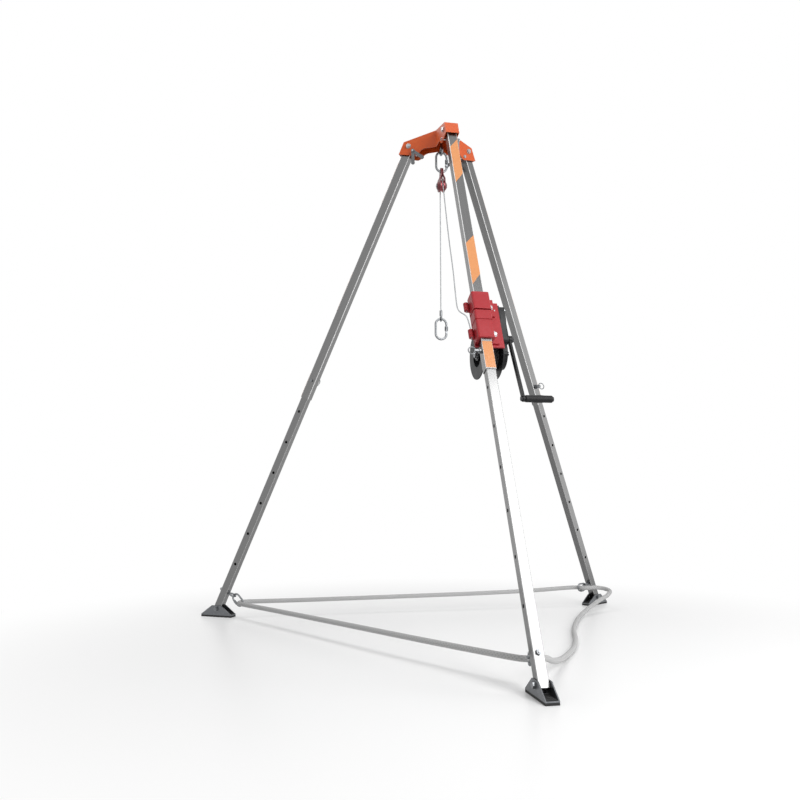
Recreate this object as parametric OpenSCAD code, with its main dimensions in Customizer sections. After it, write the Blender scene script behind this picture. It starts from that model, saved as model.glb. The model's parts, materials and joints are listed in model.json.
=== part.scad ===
// Rescue tripod: three telescopic legs under a folded sheet head, a hand winch on the front leg,
// a pulley and hook on a wire rope, and a safety rope round the feet.
// The floor is z = 0. The front leg points to -Y and the two rear legs to +X and -X.

/* [Stance] */
// Lean of each leg from upright, in degrees
leg_lean = 24.15; // [22:0.05:26]
// Distance of each leg pivot from the tripod's upright axis
pivot_reach = 147.5; // [144:0.5:152]
// Length from a leg pivot to its foot pivot
leg_length = 2324; // [2310:1:2380]
// Height of the foot pivot above the floor
ankle_height = 38; // [37:0.5:41]

/* [Leg tubes] */
// Width of the square outer tube
outer_w = 40; // [39.5:0.1:40.5]
// Wall of both tubes
tube_wall = 2; // [1.6:0.1:2.2]
// Play between the tubes, on each side
tube_play = 0.5; // [0.4:0.05:0.6]
// Outside corner radius of the outer tube
tube_corner = 3; // [2.5:0.1:3.5]
// Distance from the pivot to the lower end of the outer tube
outer_end = 1254; // [1240:1:1270]
// Length of the inner tube that stays inside the outer tube
tube_overlap = 288; // [260:1:300]
// Length of the inner tube below the foot pivot
toe_length = 12; // [10:0.5:13]
// Distance from the pivot to the lock pin
pin_station = 1166; // [1160:1:1180]
// Distance from the foot pivot up to the lowest lock hole
lowest_hole = 228; // [220:1:240]
// Number of lock holes in the inner tube
hole_count = 7; // [5:1:7]
// Diameter of the lock pin
pin_d = 12; // [10:0.5:12]
// Diametral clearance of every pin, bolt and shaft in its hole
hole_play = 0.6; // [0.4:0.1:0.8]
// Distance from the foot pivot up to the rope eye bolt
eye_rise = 88; // [84:0.5:92]

/* [Head] */
// Outside width of a head arm
arm_w = 60; // [58:0.5:62]
// Thickness of the folded sheet
sheet = 3; // [2.5:0.1:3.5]
// Height of the head's peak above the leg pivots
head_rise = 60; // [59:0.5:62]
// Slope of the roof of each arm, in degrees
roof_slope = 12.5; // [12:0.1:13]
// Distance from the leg's centre line to the outside of the arm's end plate
arm_end = 30; // [29:0.5:32]
// Depth of the end plate below the pivot, along the leg
skirt = 49; // [45:0.5:52]
// Diameter of the leg pivot bolts
pivot_bolt_d = 12; // [10:0.5:12]
// Diameter of the clamp bolts beside the legs
clamp_bolt_d = 8; // [6:0.5:8]
// Length of each wing of the wing nuts
wing_len = 56; // [50:1:60]

/* [Feet] */
// Length of a foot along its leg's radius
foot_len = 158; // [150:1:164]
// Width of a foot
foot_w = 44; // [43:0.5:46]
// Thickness of the foot's steel plate
foot_plate = 4; // [3:0.5:4]
// Thickness of the rubber sole
sole_h = 8; // [6:0.5:9]
// Diameter of the foot pivot bolt
foot_bolt_d = 12; // [10:0.5:12]

/* [Winch] */
// Diameter of the drum flanges
flange_d = 194; // [180:1:196]
// Diameter of the barrel with its inner layers of rope
barrel_d = 110; // [100:1:116]
// Distance between the drum flanges
drum_gap = 68.5; // [66:0.5:70]
// Thickness of a drum flange
flange_t = 4; // [3:0.5:5]
// Distance along the leg from the pivot to the drum axis
drum_station = 1095; // [1090:1:1100]
// Distance from the leg's centre line in to the drum axis
drum_inset = 128; // [127:0.5:134]
// Distance of the first flange's outer face from the leg's centre plane
drum_side = 9.5; // [8:0.5:12]
// Tooth size of the winch gears
gear_module = 2; // [1.9:0.05:2]
// Teeth of the drum gear
gear_teeth = 48; // [46:1:48]
// Teeth of the crank pinion
pinion_teeth = 13; // [12:1:13]
// Length of the crank from shaft to grip
crank_len = 260; // [240:1:280]
// Length of the crank grip
grip_len = 106; // [100:1:125]
// Diameter of the crank grip
grip_d = 29; // [27:0.5:32]

/* [Pulley and hook] */
// Diameter of the wire rope
wire_d = 5; // [4.5:0.1:5]
// Radius of the rope's centre line on the sheave
sheave_r = 24; // [23.5:0.5:25]
// Depth of the sheave's centre below the leg pivots
sheave_drop = 197.6; // [194:0.2:201]
// Outside length of the screw carabiners
carabiner_len = 102; // [100:0.5:106]
// Outside width of the screw carabiners
carabiner_w = 59; // [57:0.5:62]
// Bar diameter of the carabiners
carabiner_bar = 10; // [9:0.5:10]
// Depth of the middle of the hook carabiner below the sheave's centre
hook_drop = 655; // [630:1:670]

/* [Safety rope] */
// Diameter of the safety rope
rope_d = 20; // [18:0.5:20]
// Outside length of the rope links
link_len = 70; // [68:0.5:74]
// Bar diameter of the rope links
link_bar = 8; // [7:0.5:8]

/* [Hidden] */

$fn = 48;

// Colours of the finishes
ORANGE = "darkorange";
RED = "firebrick";
MAROON = "#6d2a2c";
ALLOY = "#9a9da0";
ZINC = "silver";
BLACK = "#26272a";
GREY_ROPE = "#b4b4b2";
WIRE = "#a7a9ab";

// Bearing of each leg round the upright axis
FRONT = -90;
RIGHT = 30;
LEFT = 150;
BEARINGS = [FRONT, RIGHT, LEFT];

// Leg geometry
SL = sin(leg_lean);
CL = cos(leg_lean);
seat_gap = 0.3;
pivot_z = leg_length * CL + ankle_height;
inner_w = outer_w - 2 * tube_wall - 2 * tube_play;
inner_top = outer_end - tube_overlap;
hole_d = pin_d + hole_play;
hole_pitch = (leg_length - lowest_hole - pin_station) / (hole_count - 1);
eye_station = leg_length - eye_rise;
press_fit = 0.1;
// Longer than any piece that a hole is cut through
long_cut = 5 * outer_w;
rope_eye_d = 10;
foot_r = pivot_reach + leg_length * SL;
foot_reach = foot_r + foot_len / 2;
// The upright axis stands off the origin, so that the origin is the middle of the footprint
axis_y = (foot_reach - foot_reach * sin(RIGHT) - foot_w / 2 * cos(RIGHT)) / 2;

// Head geometry: heights count from the leg pivots
roof_fall = tan(roof_slope);
sheet_drop = sheet / cos(roof_slope);
leg_head_room = CL - roof_fall * SL;
half_w = outer_w / 2;
leg_top = (head_rise - roof_fall * (pivot_reach + half_w * CL) - sheet_drop
    - seat_gap / cos(roof_slope) - half_w * SL) / leg_head_room;
clamp_n = -37;
clamp_s = 19;
tab_n = clamp_n - 9;
tab_s = 33;
wing_t = 6;
wing_w = 14;
wing_hub = 20;
wing_y = wing_hub - wing_t - 2;
bolt_head = 8;
spacer_d = 26;

// Winch geometry, in the front leg's own frame
gear_r = gear_module * gear_teeth / 2;
pinion_r = gear_module * pinion_teeth / 2;
pressure = 25;
gear_centres = gear_r + pinion_r;
crank_rise = 41;
crank_station = drum_station - crank_rise;
crank_inset = drum_inset - sqrt(gear_centres * gear_centres - crank_rise * crank_rise);
plate_t = 6;
base_t = 9;
plate_n = -(half_w + seat_gap);
base_n = plate_n - plate_t;
drum_end = drum_side + 2 * flange_t + drum_gap;
case_t0 = drum_end + 4;
case_wall = 4;
gear_t0 = case_t0 + case_wall + 2;
gear_face = 10;
cover_t0 = gear_t0 + gear_face + 4;
cover_t = 4;
case_end = cover_t0 + cover_t;
axle_boss_end = case_end + 4;
boss_end = case_end + 9;
axle_d = 20;
hub_d = 36;
axle_nut_h = 7;
crank_shaft_d = 16;
arm_t0 = boss_end + 4;
arm_t = 8;
arm_set = 13;
tip_t0 = arm_t0 + arm_set;
grip_t0 = tip_t0 + arm_t + 2;
stud_d = 10;
base_s0 = 935;
base_s1 = 992;

// Pulley and hook geometry
sheave_z = pivot_z - sheave_drop;
hook_z = sheave_z - hook_drop;
carabiner_half = (carabiner_len - carabiner_bar) / 2;
carabiner_r = (carabiner_w - carabiner_bar) / 2;
sheave_w = 16;
cheek_t = 4;
cheek_gap = 0.8;
cheek_x = sheave_w / 2 + cheek_gap;
pulley_r = 28.5;
pulley_hole_d = 17;
pulley_axle_d = 10;
pulley_hole_z = sheave_z + 68;
cheek_out = cheek_x + cheek_t;
cheek_boss = 8;
boss_out = cheek_out + cheek_boss;
arc_side = sqrt(carabiner_r * carabiner_r - cheek_out * cheek_out);
head_bar_z = pulley_hole_z + pulley_hole_d / 2 - seat_gap - (carabiner_r - arc_side)
    - carabiner_bar / 2 * carabiner_r / arc_side;
head_carabiner_z = head_bar_z + carabiner_half;
eye_bar = 10;
eye_bore = 24;
eye_z = head_carabiner_z + carabiner_half - carabiner_bar / 2 - seat_gap + eye_bore / 2;
carabiner_side = carabiner_half - carabiner_r;
gate_hinge = 6 - carabiner_side;
gate_top = carabiner_side - 2;
gate_r = 4.4;
thimble_bar = 7;
thimble_r = 11;
thimble_z = hook_z + carabiner_half - carabiner_bar / 2 - seat_gap + thimble_r - thimble_bar / 2;
ferrule_z0 = thimble_z + thimble_r + 1;
ferrule_h = 26;

// Rope hardware
ring_bar = 8;
ring_r = 15;
ring_n = -(inner_w / 2 + 22.5);
link_half = (link_len - link_bar) / 2;
link_w = 42;
LINK_DROP = [15, 0, 45];
LINK_YAW = [-15, 0, 0];
link_reach = 52;
drawn_apex = 973.8;
rope_spread = (pivot_reach + eye_station * SL + ring_n * CL - link_reach) / drawn_apex;

// Routes of the cords from the upright axis: the wire's by depth below the leg pivots, and the
// rope's by height above the floor, drawn for an apex at the front eye and spread with the feet
WINDING_STEPS = 24;
winding_r = (barrel_d + wire_d) / 2 / cos(180 / WINDING_STEPS) + seat_gap;
winding_turns = 11;
winding_pitch = wire_d + 0.6;
winding_x0 = drum_side + flange_t + 1 + wire_d / 2;
drum_r = pivot_reach + drum_station * SL - drum_inset * CL;
drum_z = pivot_z - drum_station * CL - drum_inset * SL;
wrap_end = 162;
LEAD_DROP = [
    [1, -74, 359], [2, -115, 486], [3, -172, 636], [5, -222, 804], [5.5, -238, 823], [6, -270, 841],
    [7, -318, 861], [8, -352, 878], [10, -376, 909], [14, -390, 944], [17, -405, 979], [17, -413, 1004],
    [17, -419, 1032]
];
BACK = [
    [842, 487, 95], [825, 504, 94], [802, 510, 93], [600, 510, 84], [300, 511, 77], [0, 511, 74],
    [-300, 512, 71], [-600, 513, 69], [-815, 513, 69], [-838, 507, 69], [-853, 492, 69]
];
FRONT_LEFT = [
    [-853, 492, 69], [-858, 471, 69], [-852, 450, 69], [-700, 189, 72], [-444, -252, 77],
    [-200, -671, 81], [-26, -955, 85], [-11, -970, 85], [10, -976, 85]
];
SLACK = [
    [10, -976, 85], [31, -977, 85], [55, -964, 82], [98, -905, 66], [140, -838, 44], [205, -745, 24],
    [285, -625, 12], [362, -507, 10.5], [440, -348, 10.5], [506, -188, 10.5], [587, -25, 10.5],
    [690, 150, 13], [770, 240, 28], [850, 290, 56], [920, 335, 76], [958, 390, 88], [948, 438, 94],
    [914, 458, 97], [880, 457, 96], [857, 465, 95], [842, 487, 95]
];

// A point given by its distance out from a leg's centre line and its distance down the leg
function leg_point(n, s) = [pivot_reach + s * SL + n * CL, n * SL - s * CL];

// Coordinates x outwards, y round, z up, about the upright axis
module on_bearing(b) {
    translate([0, axis_y, 0]) rotate([0, 0, b]) children();
}

// Coordinates of a leg: x out from its face, y round the tripod, z up along the tube from the pivot
module on_leg(b) {
    on_bearing(b) translate([pivot_reach, 0, pivot_z]) rotate([0, -leg_lean, 0]) children();
}

// A square with round corners
module round_square(w, r) {
    square([w, w - 2 * r], center = true);
    square([w - 2 * r, w], center = true);
    for (x = [-1, 1], y = [-1, 1]) {
        translate([x, y] * (w / 2 - r)) circle(r);
    }
}

// A square tube that stands on z = 0
module square_tube(w, wall, r, h) {
    linear_extrude(h) difference() {
        round_square(w, r);
        round_square(w - 2 * wall, max(r - wall, 0.8));
    }
}

// A cylinder along the y axis, from y0 to y1
module bar_y(d, y0, y1) {
    translate([0, y1, 0]) rotate([90, 0, 0]) cylinder(d = d, h = y1 - y0);
}

// A hexagonal head or nut along the y axis, from y0 to y1
module hex_y(across, y0, y1) {
    translate([0, y1, 0]) rotate([90, 0, 0]) cylinder(d = across / cos(30), h = y1 - y0, $fn = 6);
}

// A hexagonal bolt along the y axis, with a flange under its head at y0 and a nut that ends at y1
module hex_bolt(d, y0, y1, nut_h) {
    across = 1.5 * d;
    hex_y(across, y0 - 0.65 * d, y0 - 1.5);
    bar_y(1.9 * d, y0 - 1.5, y0);
    bar_y(d, y0 - 2, y1 + nut_h + 3);
}

// The nut of such a bolt, on its washer
module hex_nut(d, y1, nut_h) {
    difference() {
        union() {
            bar_y(1.9 * d, y1, y1 + 1.5);
            hex_y(1.5 * d, y1 + 1.4, y1 + nut_h);
        }
        bar_y(d + press_fit, y1 - 1, y1 + nut_h + 1);
    }
}

// A ring of round bar about the z axis
module bar_ring(r, bar, angle = 360) {
    rotate_extrude(angle = angle) translate([r, 0]) circle(d = bar);
}

// Half a stadium ring of round bar in the x and z plane, open downwards
module stadium_end(half, w, bar) {
    r = (w - bar) / 2;
    translate([0, 0, half - r]) rotate([90, 0, 0]) bar_ring(r, bar, 180);
}

// Sweep of a round section along points, with the sections square to the path
function unit(v) = v / norm(v);
function heading(p, i) = unit(p[min(i + 1, len(p) - 1)] - p[max(i - 1, 0)]);
function sideways(d) = unit(cross(d, abs(d.z) > 0.9 ? [1, 0, 0] : [0, 0, 1]));
function section(p, d, r, sides) = let (u = sideways(d), v = cross(d, u))
    [for (k = [0 : sides - 1]) p + r * (cos(360 * k / sides) * u + sin(360 * k / sides) * v)];

module swept_tube(path, d, sides, first, last) {
    count = len(path);
    rings = [for (i = [0 : count - 1])
        section(path[i], i == 0 ? first : i == count - 1 ? last : heading(path, i), d / 2, sides)];
    points = [for (ring = rings) each ring];
    walls = [for (i = [0 : count - 2], k = [0 : sides - 1])
        let (a = i * sides + k, b = i * sides + (k + 1) % sides)
        each [[a, b, a + sides], [b, b + sides, a + sides]]];
    top = (count - 1) * sides;
    caps = [for (k = [1 : sides - 2]) each [[0, k + 1, k], [top, top + k, top + k + 1]]];
    polyhedron(points, concat(walls, caps));
}

// HEAD

// Outline of an arm: its roof, end plate, skirt and the arch towards the middle
function roof_at(r) = head_rise - roof_fall * r;
function roof_corner(n, drop) = let (r = (n + pivot_reach * CL - (head_rise - drop) * SL) / leg_head_room)
    [r, roof_at(r) - drop];

module arm_outline() {
    skirt_inner = leg_point(tab_n, tab_s);
    polygon([
        [0, head_rise], roof_corner(arm_end, 0), leg_point(arm_end, skirt), skirt_inner,
        skirt_inner + [-12, 4], skirt_inner + [-23, 13], skirt_inner + [-32, 23],
        skirt_inner + [-48, 28], [0, skirt_inner.y + 29]
    ]);
}

module arm_hollow() {
    wall = arm_end - sheet;
    polygon([
        [0, head_rise - sheet_drop], roof_corner(wall, sheet_drop), leg_point(wall, 2 * skirt),
        [0, -2 * skirt]
    ]);
}

module upright_sheet(w) {
    rotate([90, 0, 0]) linear_extrude(w, center = true) children();
}

module head_shell() {
    color(ORANGE) difference() {
        for (b = BEARINGS) {
            on_bearing(b) translate([0, 0, pivot_z]) upright_sheet(arm_w) arm_outline();
        }
        for (b = BEARINGS) {
            on_bearing(b) translate([0, 0, pivot_z]) upright_sheet(arm_w - 2 * sheet) arm_hollow();
            on_leg(b) bar_y(pivot_bolt_d + press_fit, -arm_w, arm_w);
            on_leg(b) translate([clamp_n, 0, -clamp_s]) bar_y(clamp_bolt_d + press_fit, -arm_w, arm_w);
        }
        translate([0, axis_y, pivot_z]) cylinder(d = pivot_bolt_d + press_fit, h = 2 * head_rise);
    }
}

module pivot_bolts() {
    color(ZINC) for (b = BEARINGS) on_leg(b) {
        hex_bolt(pivot_bolt_d, -arm_w / 2, arm_w / 2, bolt_head);
        hex_nut(pivot_bolt_d, arm_w / 2, bolt_head);
    }
}

// Plastic washers that keep each leg in the middle of its arm
module pivot_spacers() {
    color(BLACK) for (b = BEARINGS, side = [0, 180]) on_leg(b) rotate([0, 0, side]) difference() {
        bar_y(spacer_d, half_w + seat_gap, arm_w / 2 - sheet);
        bar_y(pivot_bolt_d + press_fit, 0, arm_w);
    }
}

module clamp_bolts() {
    color(ZINC) for (b = BEARINGS) on_leg(b) translate([clamp_n, 0, -clamp_s]) {
        hex_bolt(clamp_bolt_d, -arm_w / 2, arm_w / 2, wing_hub);
    }
}

// A wing nut: a hub on the clamp bolt with two flat wings, one down and one towards the middle
module wing_nut(b) {
    on_leg(b) translate([clamp_n, arm_w / 2 + seat_gap, -clamp_s]) rotate([0, leg_lean, 0])
    rotate([-90, 0, 0]) difference() {
        union() {
            cylinder(d = 2.2 * clamp_bolt_d, h = wing_hub);
            translate([0, 0, wing_y]) linear_extrude(wing_t) for (turn = [0, 50]) rotate(turn) {
                translate([-wing_w / 2, 0]) square([wing_w, wing_len]);
                translate([0, wing_len]) circle(d = wing_w + 3);
            }
        }
        translate([0, 0, -1]) cylinder(d = clamp_bolt_d + hole_play, h = wing_hub + 2);
    }
}
module wing_nut_front() { color(ZINC) wing_nut(FRONT); }
module wing_nut_right() { color(ZINC) wing_nut(RIGHT); }
module wing_nut_left() { color(ZINC) wing_nut(LEFT); }

// The eye under the peak, with its washer and nut on top of the roof
module head_eye_bolt() {
    eye_r = (eye_bore + eye_bar) / 2;
    color(ZINC) translate([0, axis_y, 0]) {
        translate([0, 0, eye_z]) rotate([0, 90, 0]) bar_ring(eye_r, eye_bar);
        difference() {
            translate([0, 0, eye_z + eye_r])
                cylinder(d = pivot_bolt_d, h = pivot_z + head_rise + 16 - eye_z - eye_r);
            translate([0, 0, eye_z]) rotate([0, 90, 0]) cylinder(r = eye_r, h = 4 * eye_bar, center = true);
        }
        translate([0, 0, pivot_z + head_rise]) difference() {
            union() {
                cylinder(d = 26, h = 3);
                translate([0, 0, 2.9]) cylinder(d = 18 / cos(30), h = 9, $fn = 6);
            }
            translate([0, 0, -1]) cylinder(d = pivot_bolt_d + press_fit, h = 20);
        }
    }
}

// LEGS

module upper_leg(b) {
    on_leg(b) difference() {
        translate([0, 0, -outer_end]) square_tube(outer_w, tube_wall, tube_corner, outer_end + leg_top);
        bar_y(pivot_bolt_d + hole_play, -outer_w, outer_w);
        translate([0, 0, -pin_station]) bar_y(hole_d, -outer_w, outer_w);
    }
}
module upper_leg_front() { color(ALLOY) upper_leg(FRONT); }
module upper_leg_right() { color(ALLOY) upper_leg(RIGHT); }
module upper_leg_left() { color(ALLOY) upper_leg(LEFT); }

module lower_leg(b) {
    on_leg(b) difference() {
        translate([0, 0, -leg_length - toe_length])
            square_tube(inner_w, tube_wall, tube_corner - 0.5, leg_length + toe_length - inner_top);
        for (k = [0 : hole_count - 1]) {
            translate([0, 0, -pin_station - k * hole_pitch]) bar_y(hole_d, -outer_w, outer_w);
        }
        translate([0, 0, -leg_length]) bar_y(foot_bolt_d + press_fit, -outer_w, outer_w);
        translate([0, 0, -eye_station]) rotate([0, 90, 0])
            cylinder(d = rope_eye_d + press_fit, h = 2 * outer_w, center = true);
    }
}
module lower_leg_front() { color(ALLOY) lower_leg(FRONT); }
module lower_leg_right() { color(ALLOY) lower_leg(RIGHT); }
module lower_leg_left() { color(ALLOY) lower_leg(LEFT); }

// The rope eye bolt with its nut, and the foot pivot bolt with its nut
module leg_fasteners(b) {
    on_leg(b) translate([0, 0, -eye_station]) {
        shank = inner_w / 2 + 12;
        translate([ring_n, 0, 0]) bar_ring(ring_r, ring_bar);
        difference() {
            translate([ring_n + ring_r, 0, 0]) rotate([0, 90, 0])
                cylinder(d = rope_eye_d, h = shank - ring_n - ring_r);
            translate([ring_n, 0, 0]) cylinder(r = ring_r, h = 5 * ring_bar, center = true);
        }
        translate([-inner_w / 2 - 3, 0, 0]) rotate([0, 90, 0]) difference() {
            cylinder(d = 20, h = 3);
            translate([0, 0, -1]) cylinder(d = rope_eye_d + press_fit, h = 5);
        }
        translate([inner_w / 2, 0, 0]) rotate([0, 90, 0]) difference() {
            union() {
                cylinder(d = 20, h = 2);
                cylinder(d = 16 / cos(30), h = 9, $fn = 6);
            }
            translate([0, 0, -1]) cylinder(d = rope_eye_d + press_fit, h = 12);
        }
    }
    on_bearing(b) translate([foot_r, 0, ankle_height]) {
        hex_bolt(foot_bolt_d, -foot_w / 2 - seat_gap, foot_w / 2 + seat_gap, bolt_head);
        hex_nut(foot_bolt_d, foot_w / 2 + seat_gap, bolt_head);
    }
}
module leg_fasteners_front() { color(ZINC) leg_fasteners(FRONT); }
module leg_fasteners_right() { color(ZINC) leg_fasteners(RIGHT); }
module leg_fasteners_left() { color(ZINC) leg_fasteners(LEFT); }

// An oval link hung on the rope eye: it droops and swings to where the rope draws it
module rope_link(b, drop, yaw) {
    hang = leg_point(ring_n - ring_r, eye_station);
    r = (link_w - link_bar) / 2;
    straight = link_half - r;
    apart = (ring_bar / 2 + seat_gap + link_bar / 2) / pow(cos(yaw), 2);
    on_bearing(b) translate([hang.x, 0, pivot_z + hang.y]) rotate([0, 90 - drop, yaw])
    translate([0, 0, apart - link_half]) {
        stadium_end(link_half, link_w, link_bar);
        rotate([0, 180, 0]) stadium_end(link_half, link_w, link_bar);
        for (x = [-r, r]) translate([x, 0, -straight - 0.01])
            cylinder(d = link_bar, h = 2 * straight + 0.02);
        translate([r, 0, -10]) cylinder(d = link_bar + 5, h = 20, $fn = 6);
    }
}
module rope_link_front() { color(ZINC) rope_link(FRONT, LINK_DROP[0], LINK_YAW[0]); }
module rope_link_right() { color(ZINC) rope_link(RIGHT, LINK_DROP[1], LINK_YAW[1]); }
module rope_link_left() { color(ZINC) rope_link(LEFT, LINK_DROP[2], LINK_YAW[2]); }

// A lock pin through both tubes, with a collar, a stem and a pull ring
module lock_pin(b) {
    tip = half_w + 6;
    ring = 15;
    ring_y = -half_w - 18.5;
    knob = 13;
    on_leg(b) translate([0, 0, -pin_station]) {
        difference() {
            union() {
                bar_y(pin_d, ring_y, tip);
                bar_y(1.7 * pin_d, -half_w - 8, -half_w - seat_gap);
                bar_y(1.25 * pin_d, ring_y - knob / 2, ring_y + knob / 2);
            }
            translate([0, ring_y, 0]) cylinder(d = 9, h = 2 * pin_d, center = true);
        }
        translate([0, ring_y - ring, 0]) rotate([0, 90, 0]) bar_ring(ring, 4);
    }
}
module lock_pin_front() { color(ZINC) lock_pin(FRONT); }
module lock_pin_right() { color(ZINC) lock_pin(RIGHT); }
module lock_pin_left() { color(ZINC) lock_pin(LEFT); }

// FEET

// A folded channel: a floor plate and two upright plates that narrow towards the pivot
module foot_bracket(b) {
    top = ankle_height + 15;
    on_bearing(b) translate([foot_r, 0, 0]) difference() {
        union() {
            translate([-foot_len / 2, -foot_w / 2, sole_h]) cube([foot_len, foot_w, foot_plate]);
            for (y = [-1, 1]) translate([0, y * (foot_w - foot_plate) / 2, 0]) upright_sheet(foot_plate)
                polygon([
                    [-foot_len / 2, sole_h], [foot_len / 2, sole_h], [foot_len / 2, sole_h + foot_plate],
                    [24, top], [-24, top], [-foot_len / 2, sole_h + foot_plate]
                ]);
        }
        translate([0, 0, ankle_height]) bar_y(foot_bolt_d + hole_play, -foot_w, foot_w);
        for (x = [-1, 1]) translate([x * foot_len * 0.34, 0, 0]) cylinder(d = 9, h = 2 * sole_h);
    }
}
module foot_bracket_front() { color(ALLOY) foot_bracket(FRONT); }
module foot_bracket_right() { color(ALLOY) foot_bracket(RIGHT); }
module foot_bracket_left() { color(ALLOY) foot_bracket(LEFT); }

// A rubber sole with cross grooves, held by the heads of two screws
module foot_sole(b) {
    groove = 3;
    on_bearing(b) translate([foot_r, 0, 0]) {
        difference() {
            translate([-foot_len / 2, -foot_w / 2, 0]) cube([foot_len, foot_w, sole_h]);
            for (x = [-3 : 3]) translate([x * foot_len / 8, 0, 0])
                cube([groove, 2 * foot_w, groove], center = true);
        }
        for (x = [-1, 1]) translate([x * foot_len * 0.34, 0, sole_h - 1]) {
            cylinder(d = 8.6, h = foot_plate + 2);
            translate([0, 0, foot_plate + 1]) cylinder(d = 14, h = 4);
        }
    }
}
module foot_sole_front() { color(BLACK) foot_sole(FRONT); }
module foot_sole_right() { color(BLACK) foot_sole(RIGHT); }
module foot_sole_left() { color(BLACK) foot_sole(LEFT); }

// WINCH BRACKET

PLATE_S0 = 930;
PLATE_S1 = 1134;
PLATE_Y0 = -33;
PLATE_Y1 = 82;
// Each saddle's start and end along the leg, its width and how far it stands out from the leg
SADDLES = [[921, 999, 70, 15], [1042, 1123, 65, 9]];
COLLAR = [1003, 1043, 68, 12];
knuckle_d = 20;
knuckle_h = 14;
plate_knuckle_h = 9;
knuckle_n = plate_n + 5;
flange_y1 = 62;
flange_n = plate_n + 8;
bracket_bolt_y = 47;
saddle_bolt_d = 10;
hinge_pin_d = 6;
base_bolt_d = 8;
BASE_BOLT_Y = [-10, 66];
base_middle = (base_s0 + base_s1) / 2;

function middle(span) = (span[0] + span[1]) / 2;
function knuckle_y(span) = -span[2] / 2 - knuckle_d / 2 - 2 * seat_gap;

// The plate behind the leg, with a hinge knuckle on its left edge beside each saddle
module bracket_plate() {
    color(RED) on_leg(FRONT) difference() {
        union() {
            translate([base_n, PLATE_Y0, -PLATE_S1])
                cube([plate_t, PLATE_Y1 - PLATE_Y0, PLATE_S1 - PLATE_S0]);
            for (s = SADDLES, z = [1 + knuckle_h / 2, -1 - knuckle_h / 2 - plate_knuckle_h])
            translate([0, knuckle_y(s), z - middle(s)]) {
                translate([knuckle_n, 0, 0]) cylinder(d = knuckle_d, h = plate_knuckle_h);
                translate([base_n, 0, 0]) cube([plate_t, PLATE_Y0 - knuckle_y(s) + 1, plate_knuckle_h]);
            }
        }
        for (s = SADDLES) translate([0, 0, -middle(s)]) {
            translate([knuckle_n, knuckle_y(s), 0])
                cylinder(d = hinge_pin_d + press_fit, h = 4 * knuckle_d, center = true);
            translate([0, bracket_bolt_y, 0]) rotate([0, 90, 0])
                cylinder(d = saddle_bolt_d + press_fit, h = long_cut, center = true);
        }
        for (y = BASE_BOLT_Y) translate([0, y, -base_middle]) rotate([0, 90, 0])
            cylinder(d = base_bolt_d + press_fit, h = long_cut, center = true);
    }
}

// The section of a clamp round the leg, with its two front edges rounded
module wrap_section(span) {
    inner = half_w + seat_gap;
    front = inner + span[3];
    w = span[2];
    edge_r = 8;
    difference() {
        union() {
            translate([plate_n, -w / 2]) square([front - plate_n - edge_r, w]);
            translate([plate_n, edge_r - w / 2]) square([front - plate_n, w - 2 * edge_r]);
            for (y = [-1, 1]) translate([front - edge_r, y * (w / 2 - edge_r)]) circle(edge_r);
        }
        translate([plate_n - 1, -inner]) square([inner - plate_n + 1, 2 * inner]);
    }
}

// A clamp that wraps the leg: hinged on the left and bolted on the right
module saddle(span) {
    h = span[1] - span[0];
    on_leg(FRONT) difference() {
        translate([0, 0, -span[1]]) {
            linear_extrude(h) {
                wrap_section(span);
                translate([plate_n, half_w + 1]) square([flange_n - plate_n, flange_y1 - half_w - 1]);
            }
            translate([knuckle_n, knuckle_y(span), (h - knuckle_h) / 2]) {
                cylinder(d = knuckle_d, h = knuckle_h);
                translate([-4, 0, 0]) cube([8, -span[2] / 2 - knuckle_y(span) + 1, knuckle_h]);
            }
        }
        translate([0, 0, -middle(span)]) {
            translate([knuckle_n, knuckle_y(span), 0])
                cylinder(d = hinge_pin_d + press_fit, h = long_cut, center = true);
            translate([0, bracket_bolt_y, 0]) rotate([0, 90, 0])
                cylinder(d = saddle_bolt_d + press_fit, h = long_cut, center = true);
        }
    }
}
module upper_saddle() { color(RED) saddle(SADDLES[0]); }
// The lower one reaches up to the upper one with a collar
module lower_saddle() {
    color(RED) {
        saddle(SADDLES[1]);
        on_leg(FRONT) translate([0, 0, -COLLAR[1]])
            linear_extrude(COLLAR[1] - COLLAR[0]) wrap_section(COLLAR);
    }
}

// A bolt along the x axis, from the end of its shank at x0 to its washer's face at x1
module bolt_x(d, x0, x1) {
    translate([x0, 0, 0]) rotate([0, 90, 0]) cylinder(d = d, h = x1 - x0 + 1);
    translate([x1, 0, 0]) rotate([0, 90, 0]) cylinder(d = 2 * d, h = 1.6);
    translate([x1 + 1.5, 0, 0]) rotate([0, 90, 0]) cylinder(d = 1.6 * d / cos(30), h = 6, $fn = 6);
}

module nut_x(d, x0) {
    translate([x0 - 7, 0, 0]) rotate([0, 90, 0]) difference() {
        cylinder(d = 1.6 * d / cos(30), h = 7, $fn = 6);
        translate([0, 0, -1]) cylinder(d = d + press_fit, h = 9);
    }
}

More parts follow.
